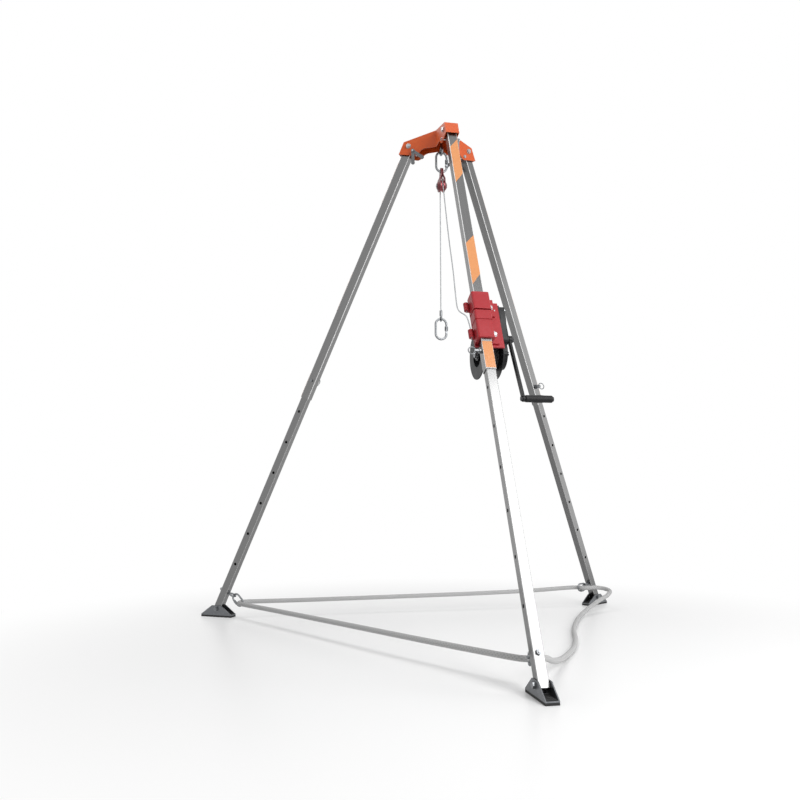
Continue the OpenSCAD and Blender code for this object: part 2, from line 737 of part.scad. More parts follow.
// Saddle bolts and nuts, hinge pins, base bolts, and the screws of the gear cover
module winch_fasteners() {
    color(ZINC) on_leg(FRONT) {
        for (s = SADDLES) translate([0, 0, -middle(s)]) {
            translate([0, bracket_bolt_y, 0]) {
                bolt_x(saddle_bolt_d, base_n - 9, flange_n);
                nut_x(saddle_bolt_d, base_n);
            }
            translate([knuckle_n, knuckle_y(s), 0])
                cylinder(d = hinge_pin_d, h = knuckle_h + 2 * plate_knuckle_h + 6, center = true);
        }
        for (y = BASE_BOLT_Y) translate([0, y, -base_middle]) rotate([0, 180, 0]) {
            bolt_x(base_bolt_d, -plate_n + seat_gap, base_t - base_n);
        }
        for (p = COVER_SCREWS) translate([p.x, 0, -p.y]) {
            bar_y(cover_screw_d, cover_t0 - 6, case_end);
            bar_y(2 * cover_screw_d, case_end, case_end + 4);
        }
        translate([-drum_inset, 0, -drum_station]) {
            difference() {
                hex_y(30, axle_boss_end, axle_boss_end + axle_nut_h);
                bar_y(axle_d + press_fit, case_end, boss_end + axle_nut_h);
            }
        }
    }
}

// WINCH

// An angle that carries the gear case on the bracket, above the drum
module winch_base() {
    web = 6;
    color(BLACK) on_leg(FRONT) translate([0, 0, -base_s1]) difference() {
        linear_extrude(base_s1 - base_s0) {
            translate([base_n - base_t, -30]) square([base_t, case_t0 + 30]);
            translate([base_n - base_t - web_depth, case_t0 - web]) square([web_depth + 1, web]);
        }
        for (y = BASE_BOLT_Y) translate([0, y, base_s1 - base_middle]) rotate([0, 90, 0])
            cylinder(d = base_bolt_d + press_fit, h = long_cut, center = true);
        translate([0, bracket_bolt_y, base_s1 - middle(SADDLES[0])]) rotate([0, 90, 0])
            cylinder(d = 2.2 * saddle_bolt_d, h = long_cut, center = true);
    }
}

web_depth = 64;
cover_screw_d = 5;
CASE_TOP = [base_n - base_t - web_depth, base_n - base_t];
COVER_SCREWS = [
    [CASE_TOP[0] + 9, base_s0 + 9], [CASE_TOP[1] - 9, base_s0 + 9],
    [-drum_inset - 52, drum_station + 22], [-drum_inset + 50, drum_station + 27]
];

// Outline of the gear case in x and distance down the leg, grown by a wall
module case_outline(grow) {
    translate([-drum_inset, drum_station]) circle(gear_r + 5 + grow);
    translate([-crank_inset, crank_station]) circle(pinion_r + 5 + grow);
}

module case_plan() {
    case_outline(case_wall);
    for (p = COVER_SCREWS) translate(p) circle(9);
    polygon([
        [CASE_TOP[0], base_s0], [CASE_TOP[1], base_s0], [CASE_TOP[1], base_s1],
        [-crank_inset + pinion_r + 9, crank_station], [-drum_inset, drum_station],
        [-drum_inset - gear_r - 4, drum_station - 24]
    ]);
}

// Extrude a plan drawn in x and distance down the leg, from y0 to y1
module across_leg(y0, y1) {
    translate([0, y1, 0]) rotate([90, 0, 0]) linear_extrude(y1 - y0) mirror([0, 1]) children();
}

module gear_case() {
    color(BLACK) on_leg(FRONT) difference() {
        across_leg(case_t0, cover_t0) case_plan();
        across_leg(case_t0 + case_wall, cover_t0 + 1) case_outline(0);
        translate([-drum_inset, 0, -drum_station]) bar_y(hub_d + 2 * hole_play, case_t0 - 1, cover_t0);
        translate([-crank_inset, 0, -crank_station])
            bar_y(crank_shaft_d - 4 + hole_play, case_t0 - 1, cover_t0);
        for (p = COVER_SCREWS) translate([p.x, 0, -p.y])
            bar_y(cover_screw_d + press_fit, cover_t0 - 10, cover_t0 + 1);
    }
}

// The cover, with a raised pad that carries the crank's bearing and a low boss for the axle
pad_s0 = base_s0 + 27;
module crank_pad() {
    r = pinion_r + 7;
    translate([-crank_inset, crank_station]) circle(r);
    translate([-crank_inset - r, pad_s0]) square([2 * r, crank_station - pad_s0]);
}

module gear_cover() {
    color(BLACK) on_leg(FRONT) difference() {
        union() {
            across_leg(cover_t0, case_end) case_plan();
            across_leg(case_end - 1, axle_boss_end)
                translate([-drum_inset, drum_station]) circle(hub_d / 2 + 8);
            across_leg(case_end - 1, boss_end) crank_pad();
        }
        translate([-drum_inset, 0, -drum_station]) bar_y(axle_d + press_fit, case_t0, boss_end + 1);
        translate([-crank_inset, 0, -crank_station]) bar_y(crank_shaft_d + hole_play, case_t0, boss_end + 1);
        for (p = COVER_SCREWS) translate([p.x, 0, -p.y])
            bar_y(cover_screw_d + press_fit, cover_t0 - 1, case_end + 1);
    }
}

// The fixed axle, with a shoulder inside the cover and a cap washer outside the first flange
module drum_axle() {
    color(ZINC) on_leg(FRONT) translate([-drum_inset, 0, -drum_station]) {
        bar_y(axle_d, drum_side - 6, axle_boss_end + axle_nut_h - 1);
        bar_y(hub_d - 2, gear_t0 + gear_face + 1, cover_t0);
        bar_y(hub_d, drum_side - 4, drum_side - seat_gap);
        hex_y(26, drum_side - 11, drum_side - 4);
    }
}

// Two flanges, a barrel hollowed out on its open side, and the hub that carries the gear
module drum() {
    color(BLACK) on_leg(FRONT) translate([-drum_inset, 0, -drum_station]) difference() {
        union() {
            bar_y(flange_d, drum_side, drum_side + flange_t);
            bar_y(barrel_d, drum_side + 1, drum_end - 1);
            bar_y(flange_d, drum_end - flange_t, drum_end);
            bar_y(hub_d, drum_end - 1, gear_t0 + gear_face);
        }
        bar_y(axle_d + hole_play, drum_side - 1, case_end);
        difference() {
            bar_y(barrel_d - 12, drum_side - 1, drum_side + 20);
            bar_y(hub_d + 14, drum_side - 2, drum_side + 21);
        }
    }
}

// Involute teeth: the half angle of a tooth at a radius
function involute(a) = tan(a) * 180 / PI - a;
function tooth_half(teeth, base, r) = 90 / teeth - 0.3 / (gear_module * teeth / 2) * 180 / PI / 2
    + involute(pressure) - involute(r > base ? acos(base / r) : 0);
function polar(r, a) = [r * cos(a), r * sin(a)];

module toothed_disc(teeth) {
    pitch_r = gear_module * teeth / 2;
    base = pitch_r * cos(pressure);
    tip = pitch_r + 0.9 * gear_module;
    root = pitch_r - 1.2 * gear_module;
    radii = [root, max(root + 0.1, base), pitch_r, tip];
    polygon([for (i = [0 : teeth - 1]) let (a = 360 * i / teeth) each concat(
        [for (r = radii) polar(r, a - tooth_half(teeth, base, r))],
        [for (k = [3 : -1 : 0]) polar(radii[k], a + tooth_half(teeth, base, radii[k]))]
    )]);
}

// The line of centres of the gears, as an angle in x and distance down the leg
mesh_angle = atan2(-crank_rise, drum_inset - crank_inset);

module drum_gear() {
    color(ZINC) on_leg(FRONT) difference() {
        across_leg(gear_t0, gear_t0 + gear_face) translate([-drum_inset, drum_station])
            rotate(mesh_angle) difference() {
                toothed_disc(gear_teeth);
                for (a = [0 : 60 : 300]) rotate(a + 30) translate([(gear_r + hub_d / 2) / 2, 0]) circle(9);
            }
        translate([-drum_inset, 0, -drum_station]) bar_y(hub_d + press_fit, case_t0, case_end);
    }
}

// The pinion and its shaft in one piece, with a tooth gap of the pinion on the line of centres
module crank_pinion() {
    color(ZINC) on_leg(FRONT) {
        across_leg(gear_t0, gear_t0 + gear_face) translate([-crank_inset, crank_station])
            rotate(mesh_angle + 180 + 180 / pinion_teeth) toothed_disc(pinion_teeth);
        translate([-crank_inset, 0, -crank_station]) {
            bar_y(crank_shaft_d - 4, case_t0 + 1, gear_t0 + 1);
            bar_y(crank_shaft_d, gear_t0 + gear_face - 1, arm_t0 + 2);
            bar_y(crank_shaft_d - 4, arm_t0 + 1, arm_t0 + arm_t + 9);
        }
    }
}

// The rope's outer layer on the drum, as one unbroken helix
function wound(turns) = let (a = -360 * turns)
    [winding_x0 + winding_pitch * turns, winding_r * cos(a), winding_r * sin(a)];
WOUND = [for (i = [0 : winding_turns * WINDING_STEPS]) wound(i / WINDING_STEPS)];

module wire_winding() {
    last = len(WOUND) - 1;
    color(WIRE) translate([0, axis_y - drum_r, drum_z])
        swept_tube(WOUND, wire_d, 6, [0, 0, -1], unit(WOUND[last] - WOUND[last - 1]));
}
apart = [for (i = [0 : WINDING_STEPS - 1], k = [-1 : 1]) norm(WOUND[i] - WOUND[i + WINDING_STEPS + k])];
echo(least_gap_between_turns = min(apart) - wire_d);

// CRANK

// A flat arm set outwards, so that the hand on its tip clears the case
module crank_arm() {
    w = 20;
    bar_len = norm([crank_len, arm_set]);
    color(ZINC) on_leg(FRONT) translate([-crank_inset, 0, -crank_station]) difference() {
        union() {
            bar_y(32, arm_t0, arm_t0 + arm_t + 4);
            translate([0, arm_t0 + arm_t / 2, 0]) rotate([atan2(arm_set, crank_len), 0, 0])
                translate([-w / 2, -arm_t / 2, -bar_len]) cube([w, arm_t, bar_len]);
            translate([0, 0, -crank_len]) bar_y(w + 4, tip_t0, tip_t0 + arm_t);
        }
        bar_y(crank_shaft_d - 4 + press_fit, arm_t0 - 1, tip_t0 + arm_t);
        bar_y(crank_shaft_d + press_fit, arm_t0 - 1, arm_t0 + 2);
        translate([0, 0, -crank_len]) {
            bar_y(stud_d + press_fit, arm_t0, grip_t0);
            bar_y(w + 4, arm_t0, tip_t0);
        }
    }
}

// The crank's end nut, and the stud that the grip turns on
module crank_fasteners() {
    color(ZINC) on_leg(FRONT) translate([-crank_inset, 0, -crank_station]) {
        difference() {
            hex_y(18, arm_t0 + arm_t + 4, arm_t0 + arm_t + 12);
            bar_y(crank_shaft_d - 4 + press_fit, arm_t0, arm_t0 + 40);
        }
        translate([0, 0, -crank_len]) {
            hex_y(17, tip_t0 - 6, tip_t0);
            bar_y(stud_d, tip_t0 - 1, grip_t0 + grip_len + 1);
            bar_y(stud_d + 8, grip_t0 + grip_len + seat_gap, grip_t0 + grip_len + 4);
        }
    }
}

// A turned grip, fuller in the middle and rounded at both ends
module crank_grip() {
    r = grip_d / 2;
    belly_r = 1.9 * grip_len;
    color(BLACK) on_leg(FRONT) translate([-crank_inset, grip_t0, -crank_station - crank_len])
    rotate([-90, 0, 0]) rotate_extrude() difference() {
        union() {
            translate([0, 4]) square([r - 1, grip_len - 8]);
            square([r - 5, grip_len]);
            for (y = [4, grip_len - 4]) translate([r - 5, y]) circle(4);
            translate([0, grip_len / 2]) intersection() {
                translate([r - belly_r, 0]) circle(belly_r, $fn = 96);
                translate([0, 8 - grip_len / 2]) square([r, grip_len - 16]);
            }
        }
        translate([-grip_d, -1]) square([grip_d + (stud_d + hole_play) / 2, grip_len + 2]);
    }
}

// PULLEY AND HOOK

// An oval screw carabiner in the x and z plane about the origin, open where its gate closes it
module carabiner_frame() {
    difference() {
        union() {
            stadium_end(carabiner_half, carabiner_w, carabiner_bar);
            rotate([0, 180, 0]) stadium_end(carabiner_half, carabiner_w, carabiner_bar);
            translate([-carabiner_r, 0, -carabiner_side]) cylinder(d = carabiner_bar, h = 2 * carabiner_side);
            translate([carabiner_r, 0, gate_top + hole_play])
                cylinder(d = carabiner_bar, h = carabiner_side - gate_top - hole_play);
            translate([carabiner_r, 0, -carabiner_side])
                cylinder(d = carabiner_bar, h = gate_hinge + carabiner_side);
        }
        translate([carabiner_r, 0, gate_hinge]) bar_y(2 * gate_r + 1, -carabiner_bar, carabiner_bar);
    }
}

// Its gate with the screw sleeve, hinged on a knuckle at the lower end
module carabiner_gate() {
    sleeve = 20;
    translate([carabiner_r, 0, gate_hinge]) {
        bar_y(2 * gate_r, -gate_r, gate_r);
        cylinder(r = gate_r, h = gate_top - gate_hinge);
        translate([0, 0, 8]) cylinder(d = 14, h = sleeve);
    }
}

module at_head_carabiner() {
    translate([0, axis_y, head_carabiner_z]) children();
}
module at_hook() {
    translate([0, axis_y + sheave_r, hook_z]) children();
}
module head_carabiner() { color(ZINC) at_head_carabiner() carabiner_frame(); }
module head_gate() { color(ZINC) at_head_carabiner() carabiner_gate(); }
module hook_carabiner() { color(ZINC) at_hook() carabiner_frame(); }
module hook_gate() { color(ZINC) at_hook() carabiner_gate(); }

// A cheek plate in the y and z plane: round at the sheave, drawn in to the carabiner hole
module cheek_plan() {
    rise = pulley_hole_z - sheave_z;
    eye = pulley_hole_d / 2 + 8;
    difference() {
        union() {
            circle(pulley_r);
            translate([0, rise]) circle(eye);
            polygon([[-pulley_r, 0], [pulley_r, 0], [eye, rise], [-eye, rise]]);
        }
        translate([0, rise]) circle(d = pulley_hole_d);
        translate([0, rise - eye - pulley_hole_d / 2 - 4]) circle(8);
    }
}

// Two cheeks, each with a tapered boss round the end of the axle
module pulley_cheeks() {
    boss_r = 0.8 * pulley_r;
    color(MAROON) translate([0, axis_y, sheave_z]) for (side = [0, 1]) mirror([side, 0, 0])
        translate([cheek_x, 0, 0]) rotate([90, 0, 90]) difference() {
            union() {
                linear_extrude(cheek_t) cheek_plan();
                translate([0, 0, cheek_t - 0.1])
                    cylinder(r1 = boss_r, r2 = 0.65 * boss_r, h = cheek_boss + 0.1);
            }
            translate([0, 0, -1]) cylinder(d = pulley_axle_d + press_fit, h = 2 * (cheek_t + cheek_boss));
        }
}

// The grooved sheave, with a bore for its axle
module pulley_sheave() {
    groove_r = wire_d / 2 + seat_gap;
    rim = sheave_r + 1.5;
    bore_r = (pulley_axle_d + hole_play) / 2;
    color(ALLOY) translate([0, axis_y, sheave_z]) rotate([0, 90, 0]) rotate_extrude() difference() {
        translate([bore_r, -sheave_w / 2]) square([rim - bore_r, sheave_w]);
        translate([sheave_r, 0]) circle(groove_r);
        translate([sheave_r, 0]) polygon([
            [0, groove_r], [4, sheave_w / 2 - 1.5], [4, 1.5 - sheave_w / 2], [0, -groove_r]
        ]);
    }
}

module pulley_axle() {
    color(ZINC) translate([0, axis_y, sheave_z]) rotate([0, 90, 0]) {
        cylinder(d = pulley_axle_d, h = 2 * boss_out + 4, center = true);
        for (side = [0, 180]) rotate([side, 0, 0]) translate([0, 0, boss_out])
            cylinder(d = 1.7 * pulley_axle_d, h = 3.5);
    }
}

// CORDS

function standing(p) = p + [0, axis_y, 0];
function wrapped(a) = [0, sheave_r * cos(a), sheave_z + sheave_r * sin(a)];
wrap_heading = [0, -sin(wrap_end), cos(wrap_end)];
lead_start = wrapped(wrap_end) + seat_gap * wrap_heading;
lead_end = [winding_x0, winding_r - drum_r, drum_z + seat_gap];

// From the ferrule up to the sheave and over it
module wire_fall() {
    foot = [0, sheave_r, ferrule_z0 + ferrule_h + 0.1];
    route = concat([foot, foot + [0, 0, hook_drop / 2]],
        [for (a = [0 : wrap_end / 9 : wrap_end]) wrapped(a)]);
    color(WIRE) swept_tube([for (p = route) standing(p)], wire_d, 8, [0, 0, 1], wrap_heading);
}

// From the sheave down to the drum, a little slack
module wire_lead() {
    lead = [for (p = LEAD_DROP) [p.x, p.y, pivot_z - p.z]];
    route = concat([lead_start], lead, [lead_end]);
    color(WIRE) swept_tube([for (p = route) standing(p)], wire_d, 8, wrap_heading, [0, 0, -1]);
}

// The rope's end: a steel thimble in its eye, closed by a pressed ferrule
module wire_thimble() {
    color(ZINC) translate([0, axis_y + sheave_r, 0]) {
        translate([0, 0, thimble_z]) rotate([0, 90, 0]) bar_ring(thimble_r, thimble_bar);
        translate([0, 0, ferrule_z0]) cylinder(d = 13, h = ferrule_h - 4);
        translate([0, 0, ferrule_z0 + ferrule_h - 4.1]) cylinder(d1 = 13, d2 = 9, h = 4.1);
    }
}

module safety_rope(route, first, last) {
    color(GREY_ROPE) swept_tube([for (p = route) standing([p.x * rope_spread, p.y * rope_spread, p.z])],
        rope_d, 8, first, last);
}
function round_from(b) = [-sin(b), cos(b), 0];
module rope_back() { safety_rope(BACK, round_from(RIGHT), round_from(LEFT)); }
module rope_left() { safety_rope(FRONT_LEFT, round_from(LEFT), round_from(FRONT)); }
module rope_slack() { safety_rope(SLACK, round_from(FRONT), round_from(RIGHT)); }

head_shell();
pivot_bolts();
pivot_spacers();
clamp_bolts();
head_eye_bolt();
wing_nut_front();
wing_nut_right();
wing_nut_left();
upper_leg_front();
upper_leg_right();
upper_leg_left();
lower_leg_front();
lower_leg_right();
lower_leg_left();
leg_fasteners_front();
leg_fasteners_right();
leg_fasteners_left();
rope_link_front();
rope_link_right();
rope_link_left();
lock_pin_front();
lock_pin_right();
lock_pin_left();
foot_bracket_front();
foot_bracket_right();
foot_bracket_left();
foot_sole_front();
foot_sole_right();
foot_sole_left();
bracket_plate();
upper_saddle();
lower_saddle();
winch_fasteners();
winch_base();
gear_case();
gear_cover();
drum_axle();
drum();
drum_gear();
wire_winding();
crank_pinion();
crank_arm();
crank_fasteners();
crank_grip();
head_carabiner();
head_gate();
pulley_cheeks();
pulley_sheave();
pulley_axle();
wire_fall();
wire_lead();
wire_thimble();
hook_carabiner();
hook_gate();
rope_back();
rope_left();
rope_slack();
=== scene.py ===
import json
import math

import bmesh
import bpy
import numpy as np
from mathutils import Matrix, Vector


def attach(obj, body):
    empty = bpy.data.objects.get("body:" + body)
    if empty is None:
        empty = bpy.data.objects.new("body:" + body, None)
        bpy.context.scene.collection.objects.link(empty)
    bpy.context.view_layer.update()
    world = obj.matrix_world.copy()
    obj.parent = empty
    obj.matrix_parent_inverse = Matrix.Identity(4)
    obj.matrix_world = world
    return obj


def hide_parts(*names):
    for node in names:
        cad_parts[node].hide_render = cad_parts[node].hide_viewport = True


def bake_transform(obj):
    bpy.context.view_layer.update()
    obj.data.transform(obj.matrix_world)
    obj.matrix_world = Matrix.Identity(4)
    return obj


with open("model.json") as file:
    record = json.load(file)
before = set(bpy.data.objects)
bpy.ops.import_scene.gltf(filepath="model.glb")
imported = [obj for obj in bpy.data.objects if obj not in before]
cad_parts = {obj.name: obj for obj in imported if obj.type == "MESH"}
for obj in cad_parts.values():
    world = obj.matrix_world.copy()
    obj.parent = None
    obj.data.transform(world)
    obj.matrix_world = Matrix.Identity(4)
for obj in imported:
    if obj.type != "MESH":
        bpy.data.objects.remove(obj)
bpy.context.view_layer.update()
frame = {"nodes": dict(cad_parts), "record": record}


# STUDIO
# A pale floor that runs out into a white room. The front box stands where the front leg's inner
# tube mirrors it and the outer tube, higher up, does not. The top box lights the floor, and two
# smaller boxes light the right sides of legs and feet.
def srgb(hex_code):
    """A hex colour as linear values."""
    parts = [int(hex_code[i:i + 2], 16) / 255 for i in (1, 3, 5)]
    linear = [c / 12.92 if c <= 0.04045 else ((c + 0.055) / 1.055) ** 2.4 for c in parts]
    return (*linear, 1.0)


def add_node(tree, kind, settings=None, numbered=None, **named):
    """Adds one node with its settings. Each input takes another node's output or a plain value."""
    made = tree.nodes.new(kind)
    for name, value in (settings or {}).items():
        setattr(made, name, value)
    inputs = dict(numbered or {})
    inputs.update((name.replace("_", " "), value) for name, value in named.items())
    for name, value in inputs.items():
        if isinstance(value, bpy.types.NodeSocket):
            tree.links.new(value, made.inputs[name])
        else:
            made.inputs[name].default_value = value
    return made


def new_finish(name, colour, metallic, roughness, shine=0.5):
    """A material with its plain values set on the shader."""
    material = bpy.data.materials.new(name)
    material.use_nodes = True
    shader = material.node_tree.nodes["Principled BSDF"]
    shader.inputs["Base Color"].default_value = srgb(colour)
    shader.inputs["Metallic"].default_value = metallic
    shader.inputs["Roughness"].default_value = roughness
    shader.inputs["Specular IOR Level"].default_value = shine
    return material, material.node_tree, shader


record = frame["record"]
joints = {joint["name"]: joint for joint in record["behaviour"]["joints"]}
# The upright axis through the head's eye stands at x = 0 and at this y
AXIS_Y = joints["pulley_swing"]["pos_m"][1]
scene = bpy.context.scene
scene.view_settings.view_transform = "Standard"

# The camera stands low, in front and to the left, and looks up a little
camera = bpy.data.objects.new("camera", bpy.data.cameras.new("camera"))
camera.location = (-0.8635, AXIS_Y - 3.2797, 0.6045)
camera.rotation_euler = (math.radians(96.40), 0, math.radians(-11.566))
camera.data.lens = 34.87
camera.data.sensor_width = 36
scene.collection.objects.link(camera)
scene.camera = camera

# The room is white where it is seen, and gives a weaker soft light
ROOM_FILL = 0.3
world = bpy.data.worlds.new("studio_room")
scene.world = world
world.use_nodes = True
room = world.node_tree
room.nodes.clear()


def seen_directly(tree):
    """One for what the camera sees, also in a mirror or through glass, and nought for soft light."""
    path = add_node(tree, "ShaderNodeLightPath").outputs
    seen = path["Is Camera Ray"]
    for ray in ("Is Glossy Ray", "Is Transmission Ray"):
        either = add_node(tree, "ShaderNodeMath", {"operation": "MAXIMUM"}, {0: seen, 1: path[ray]})
        seen = either.outputs[0]
    return seen


white = add_node(room, "ShaderNodeBackground", Color=srgb("#ffffff"), Strength=1.0)
fill = add_node(room, "ShaderNodeBackground", Color=srgb("#ffffff"), Strength=ROOM_FILL)
room_light = add_node(room, "ShaderNodeMixShader",
                      numbered={0: seen_directly(room), 1: fill.outputs[0], 2: white.outputs[0]})
add_node(room, "ShaderNodeOutputWorld", Surface=room_light.outputs[0])


def soft_box(name, place, aim, size, power):
    """A rectangular area lamp that faces a point."""
    lamp = bpy.data.objects.new(name, bpy.data.lights.new(name, "AREA"))
    lamp.data.shape = "RECTANGLE"
    lamp.data.size, lamp.data.size_y = size
    lamp.data.energy = power
    lamp.location = place
    lamp.rotation_euler = (Vector(aim) - Vector(place)).to_track_quat("-Z", "Y").to_euler()
    scene.collection.objects.link(lamp)


soft_box("front_box", place=(1.27, -3.25, 2.40), aim=(0, -0.6, 0.55), size=(1.5, 3.6), power=104)
soft_box("top_box", place=(-1.0, 0.8, 4.4), aim=(-0.4, 0.1, 0), size=(3.2, 3.2), power=72)
soft_box("right_box", place=(2.7, -1.7, 1.4), aim=(0.4, -0.2, 0.1), size=(1.2, 1.2), power=18)
soft_box("side_box", place=(3.2, 0.25, 1.2), aim=(0.6, 0.6, 1.2), size=(1.0, 2.6), power=7.5)

# Satin floor paint round the object, which fades into the white of the room further out
FLOOR_HALF = 30
NEAR_FLOOR, FAR_FLOOR = 0.7, 2.3
pale, tree, shader = new_finish("pale_floor_paint", "#f7f7f7", metallic=0.0, roughness=0.35)
place = add_node(tree, "ShaderNodeTexCoord").outputs["Object"]
away = add_node(tree, "ShaderNodeVectorMath", {"operation": "LENGTH"}, {0: place})
fade = add_node(tree, "ShaderNodeMapRange", {"interpolation_type": "SMOOTHSTEP"},
                Value=away.outputs["Value"], From_Min=NEAR_FLOOR, From_Max=FAR_FLOOR)
strength = add_node(tree, "ShaderNodeMapRange", Value=seen_directly(tree), To_Min=ROOM_FILL, To_Max=1.0)
glow = add_node(tree, "ShaderNodeEmission", Color=srgb("#ffffff"), Strength=strength.outputs[0])
sweep = add_node(tree, "ShaderNodeMixShader",
                 numbered={0: fade.outputs[0], 1: shader.outputs[0], 2: glow.outputs[0]})
tree.links.new(sweep.outputs[0], tree.nodes["Material Output"].inputs["Surface"])
floor_mesh = bpy.data.meshes.new("floor")
corners = [(x * FLOOR_HALF, y * FLOOR_HALF, 0) for x, y in ((-1, -1), (1, -1), (1, 1), (-1, 1))]
floor_mesh.from_pydata(corners, [], [(0, 1, 2, 3)])
floor_mesh.materials.append(pale)
floor = bpy.data.objects.new("floor", floor_mesh)
scene.collection.objects.link(floor)


# HEAD
# One orange powder-coated steel sheet, folded into three arms that cap the legs, with pivot and
# clamp bolts in bright zinc, an eye bolt under its peak, and plastic spacers that centre each tube.
nodes = frame["nodes"]
body_of = {node: body for body, held in record["behaviour"]["bodies"].items() for node in held}


def new_piece(mesh, body, stands_for=()):
    """Links a finished mesh as a piece of the object that rides on a body, where one is given."""
    piece = bpy.data.objects.new(mesh.name, mesh)
    scene.collection.objects.link(piece)
    if body:
        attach(piece, body)
    if stands_for:
        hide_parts(*stands_for)
    return piece


def smooth_by_angle(mesh, degrees):
    """Shades a mesh smooth, apart from edges that turn more sharply."""
    mesh.polygons.foreach_set("use_smooth", [True] * len(mesh.polygons))
    mesh.set_sharp_from_angle(angle=math.radians(degrees))


def made_plain(carrier):
    """The mesh that an object's modifier makes. The object and its own mesh are removed."""
    bpy.context.view_layer.update()
    base = carrier.data
    made = bpy.data.meshes.new_from_object(carrier.evaluated_get(bpy.context.evaluated_depsgraph_get()))
    bpy.data.objects.remove(carrier)
    bpy.data.meshes.remove(base)
    return made


def flat_faces_kept_flat(mesh):
    """A mesh whose shading follows its large faces up to their broken edges."""
    carrier = bpy.data.objects.new("carrier", mesh)
    scene.collection.objects.link(carrier)
    even = carrier.modifiers.new("even", "WEIGHTED_NORMAL")
    even.keep_sharp = True
    return made_plain(carrier)


# When points are one, when faces are one flat, and from what turn an edge is broken or shaded sharp
WELD = 2e-6
FLAT_WITHIN = math.radians(0.4)
SHARP_FROM = math.radians(38)
SMOOTH_TO = 35


def broken_edges(node, width, material, reshape=None):
    """A copy of a CAD node with its sharp edges broken, as a file or a folding die leaves them."""
    shape = bmesh.new()
    shape.from_mesh(nodes[node].data)
    bmesh.ops.remove_doubles(shape, verts=shape.verts, dist=WELD)
    bmesh.ops.dissolve_limit(shape, angle_limit=FLAT_WITHIN, verts=shape.verts, edges=shape.edges)
    if reshape:
        reshape(shape)
    sharp = [edge for edge in shape.edges if edge.is_manifold and edge.calc_face_angle() > SHARP_FROM]
    bmesh.ops.bevel(shape, geom=sharp, offset=width, segments=2, profile=0.5,
                    affect="EDGES", clamp_overlap=True)
    rough = bpy.data.meshes.new(node + "_rough")
    shape.to_mesh(rough)
    shape.free()
    smooth_by_angle(rough, SMOOTH_TO)
    mesh = flat_faces_kept_flat(rough)
    mesh.name = node + "_finished"
    mesh.materials.append(material)
    new_piece(mesh, body_of[node], [node])


# A Mix node's sockets for colours, which share their names with its sockets for numbers
FIRST_COLOUR, SECOND_COLOUR, MIXED_COLOUR = 6, 7, 2


def powder_coat(name, colour, worn, roughness, shine=0.5):
    """Powder coat: an even film with a fine orange peel, a little paler where hands and straps rub."""
    material, tree, shader = new_finish(name, colour, 0.0, roughness, shine)
    place = add_node(tree, "ShaderNodeTexCoord").outputs["Object"]
    peel_size = 0.0016
    rub_size = 0.045
    peel = add_node(tree, "ShaderNodeTexNoise", Vector=place, Scale=1 / peel_size, Detail=2.0)
    rub = add_node(tree, "ShaderNodeTexNoise", Vector=place, Scale=1 / rub_size,
                   Detail=6.0, Roughness=0.65)
    share = add_node(tree, "ShaderNodeMapRange", Value=rub.outputs["Fac"],
                     From_Min=0.52, From_Max=0.78, To_Min=0.0, To_Max=0.55)
    tint = add_node(tree, "ShaderNodeMix", {"data_type": "RGBA"},
                    {FIRST_COLOUR: srgb(colour), SECOND_COLOUR: srgb(worn)}, Factor=share.outputs[0])
    dull = add_node(tree, "ShaderNodeMapRange", Value=rub.outputs["Fac"],
                    To_Min=roughness - 0.06, To_Max=roughness + 0.1)
    bump = add_node(tree, "ShaderNodeBump", Height=peel.outputs["Fac"], Strength=0.25, Distance=0.00012)
    tree.links.new(tint.outputs[MIXED_COLOUR], shader.inputs["Base Color"])
    tree.links.new(dull.outputs[0], shader.inputs["Roughness"])
    tree.links.new(bump.outputs[0], shader.inputs["Normal"])
    return material


def mottled(name, dark, light, metallic, roughness, grain, detail, breakup=0.5, shine=0.5,
            gloss=None, relief=None):
    """A finish with a random grain of a real size, dark and light spots where the two differ. Gloss is
    the roughness of those spots, and relief the strength and depth of their bumps, where given."""
    material, tree, shader = new_finish(name, light, metallic, roughness, shine)
    place = add_node(tree, "ShaderNodeTexCoord").outputs["Object"]
    noise = add_node(tree, "ShaderNodeTexNoise", Vector=place, Scale=1 / grain,
                     Detail=detail, Roughness=breakup)
    spots = noise.outputs["Fac"]
    if dark != light:
        tone = add_node(tree, "ShaderNodeValToRGB", Fac=spots)
        tone.color_ramp.elements[0].color = srgb(dark)
        tone.color_ramp.elements[1].color = srgb(light)
        tree.links.new(tone.outputs[0], shader.inputs["Base Color"])
    if gloss:
        dull = add_node(tree, "ShaderNodeMapRange", Value=spots, To_Min=gloss[0], To_Max=gloss[1])
        tree.links.new(dull.outputs[0], shader.inputs["Roughness"])
    if relief:
        bump = add_node(tree, "ShaderNodeBump", Height=spots, Strength=relief[0], Distance=relief[1])
        tree.links.new(bump.outputs[0], shader.inputs["Normal"])
    return material


def zinc_plate(name, dull, bright, roughness):
    """Zinc on steel: faint cloudy patches where the plating bath left it duller."""
    return mottled(name, dull, bright, metallic=1.0, roughness=roughness, grain=0.009, detail=4.0,
                   gloss=(roughness + 0.1, roughness - 0.1))


orange_coat = powder_coat("orange_powder_coat_on_steel", "#d4581f", "#dd6f3a", roughness=0.36)
zinc = zinc_plate("zinc_plated_steel", "#6e7073", "#8e9092", roughness=0.34)
bright_zinc = zinc_plate("bright_zinc_plated_bolts", "#a4a6a8", "#c8cacc", roughness=0.26)
# Moulded nylon: an even black, with the spark grain of its mould, drawn coarse enough to show
nylon = mottled("black_moulded_nylon", "#131315", "#131315", metallic=0.0, roughness=0.55,
                grain=0.0009, detail=1.0, shine=0.3, gloss=(0.46, 0.62), relief=(0.35, 0.00015))

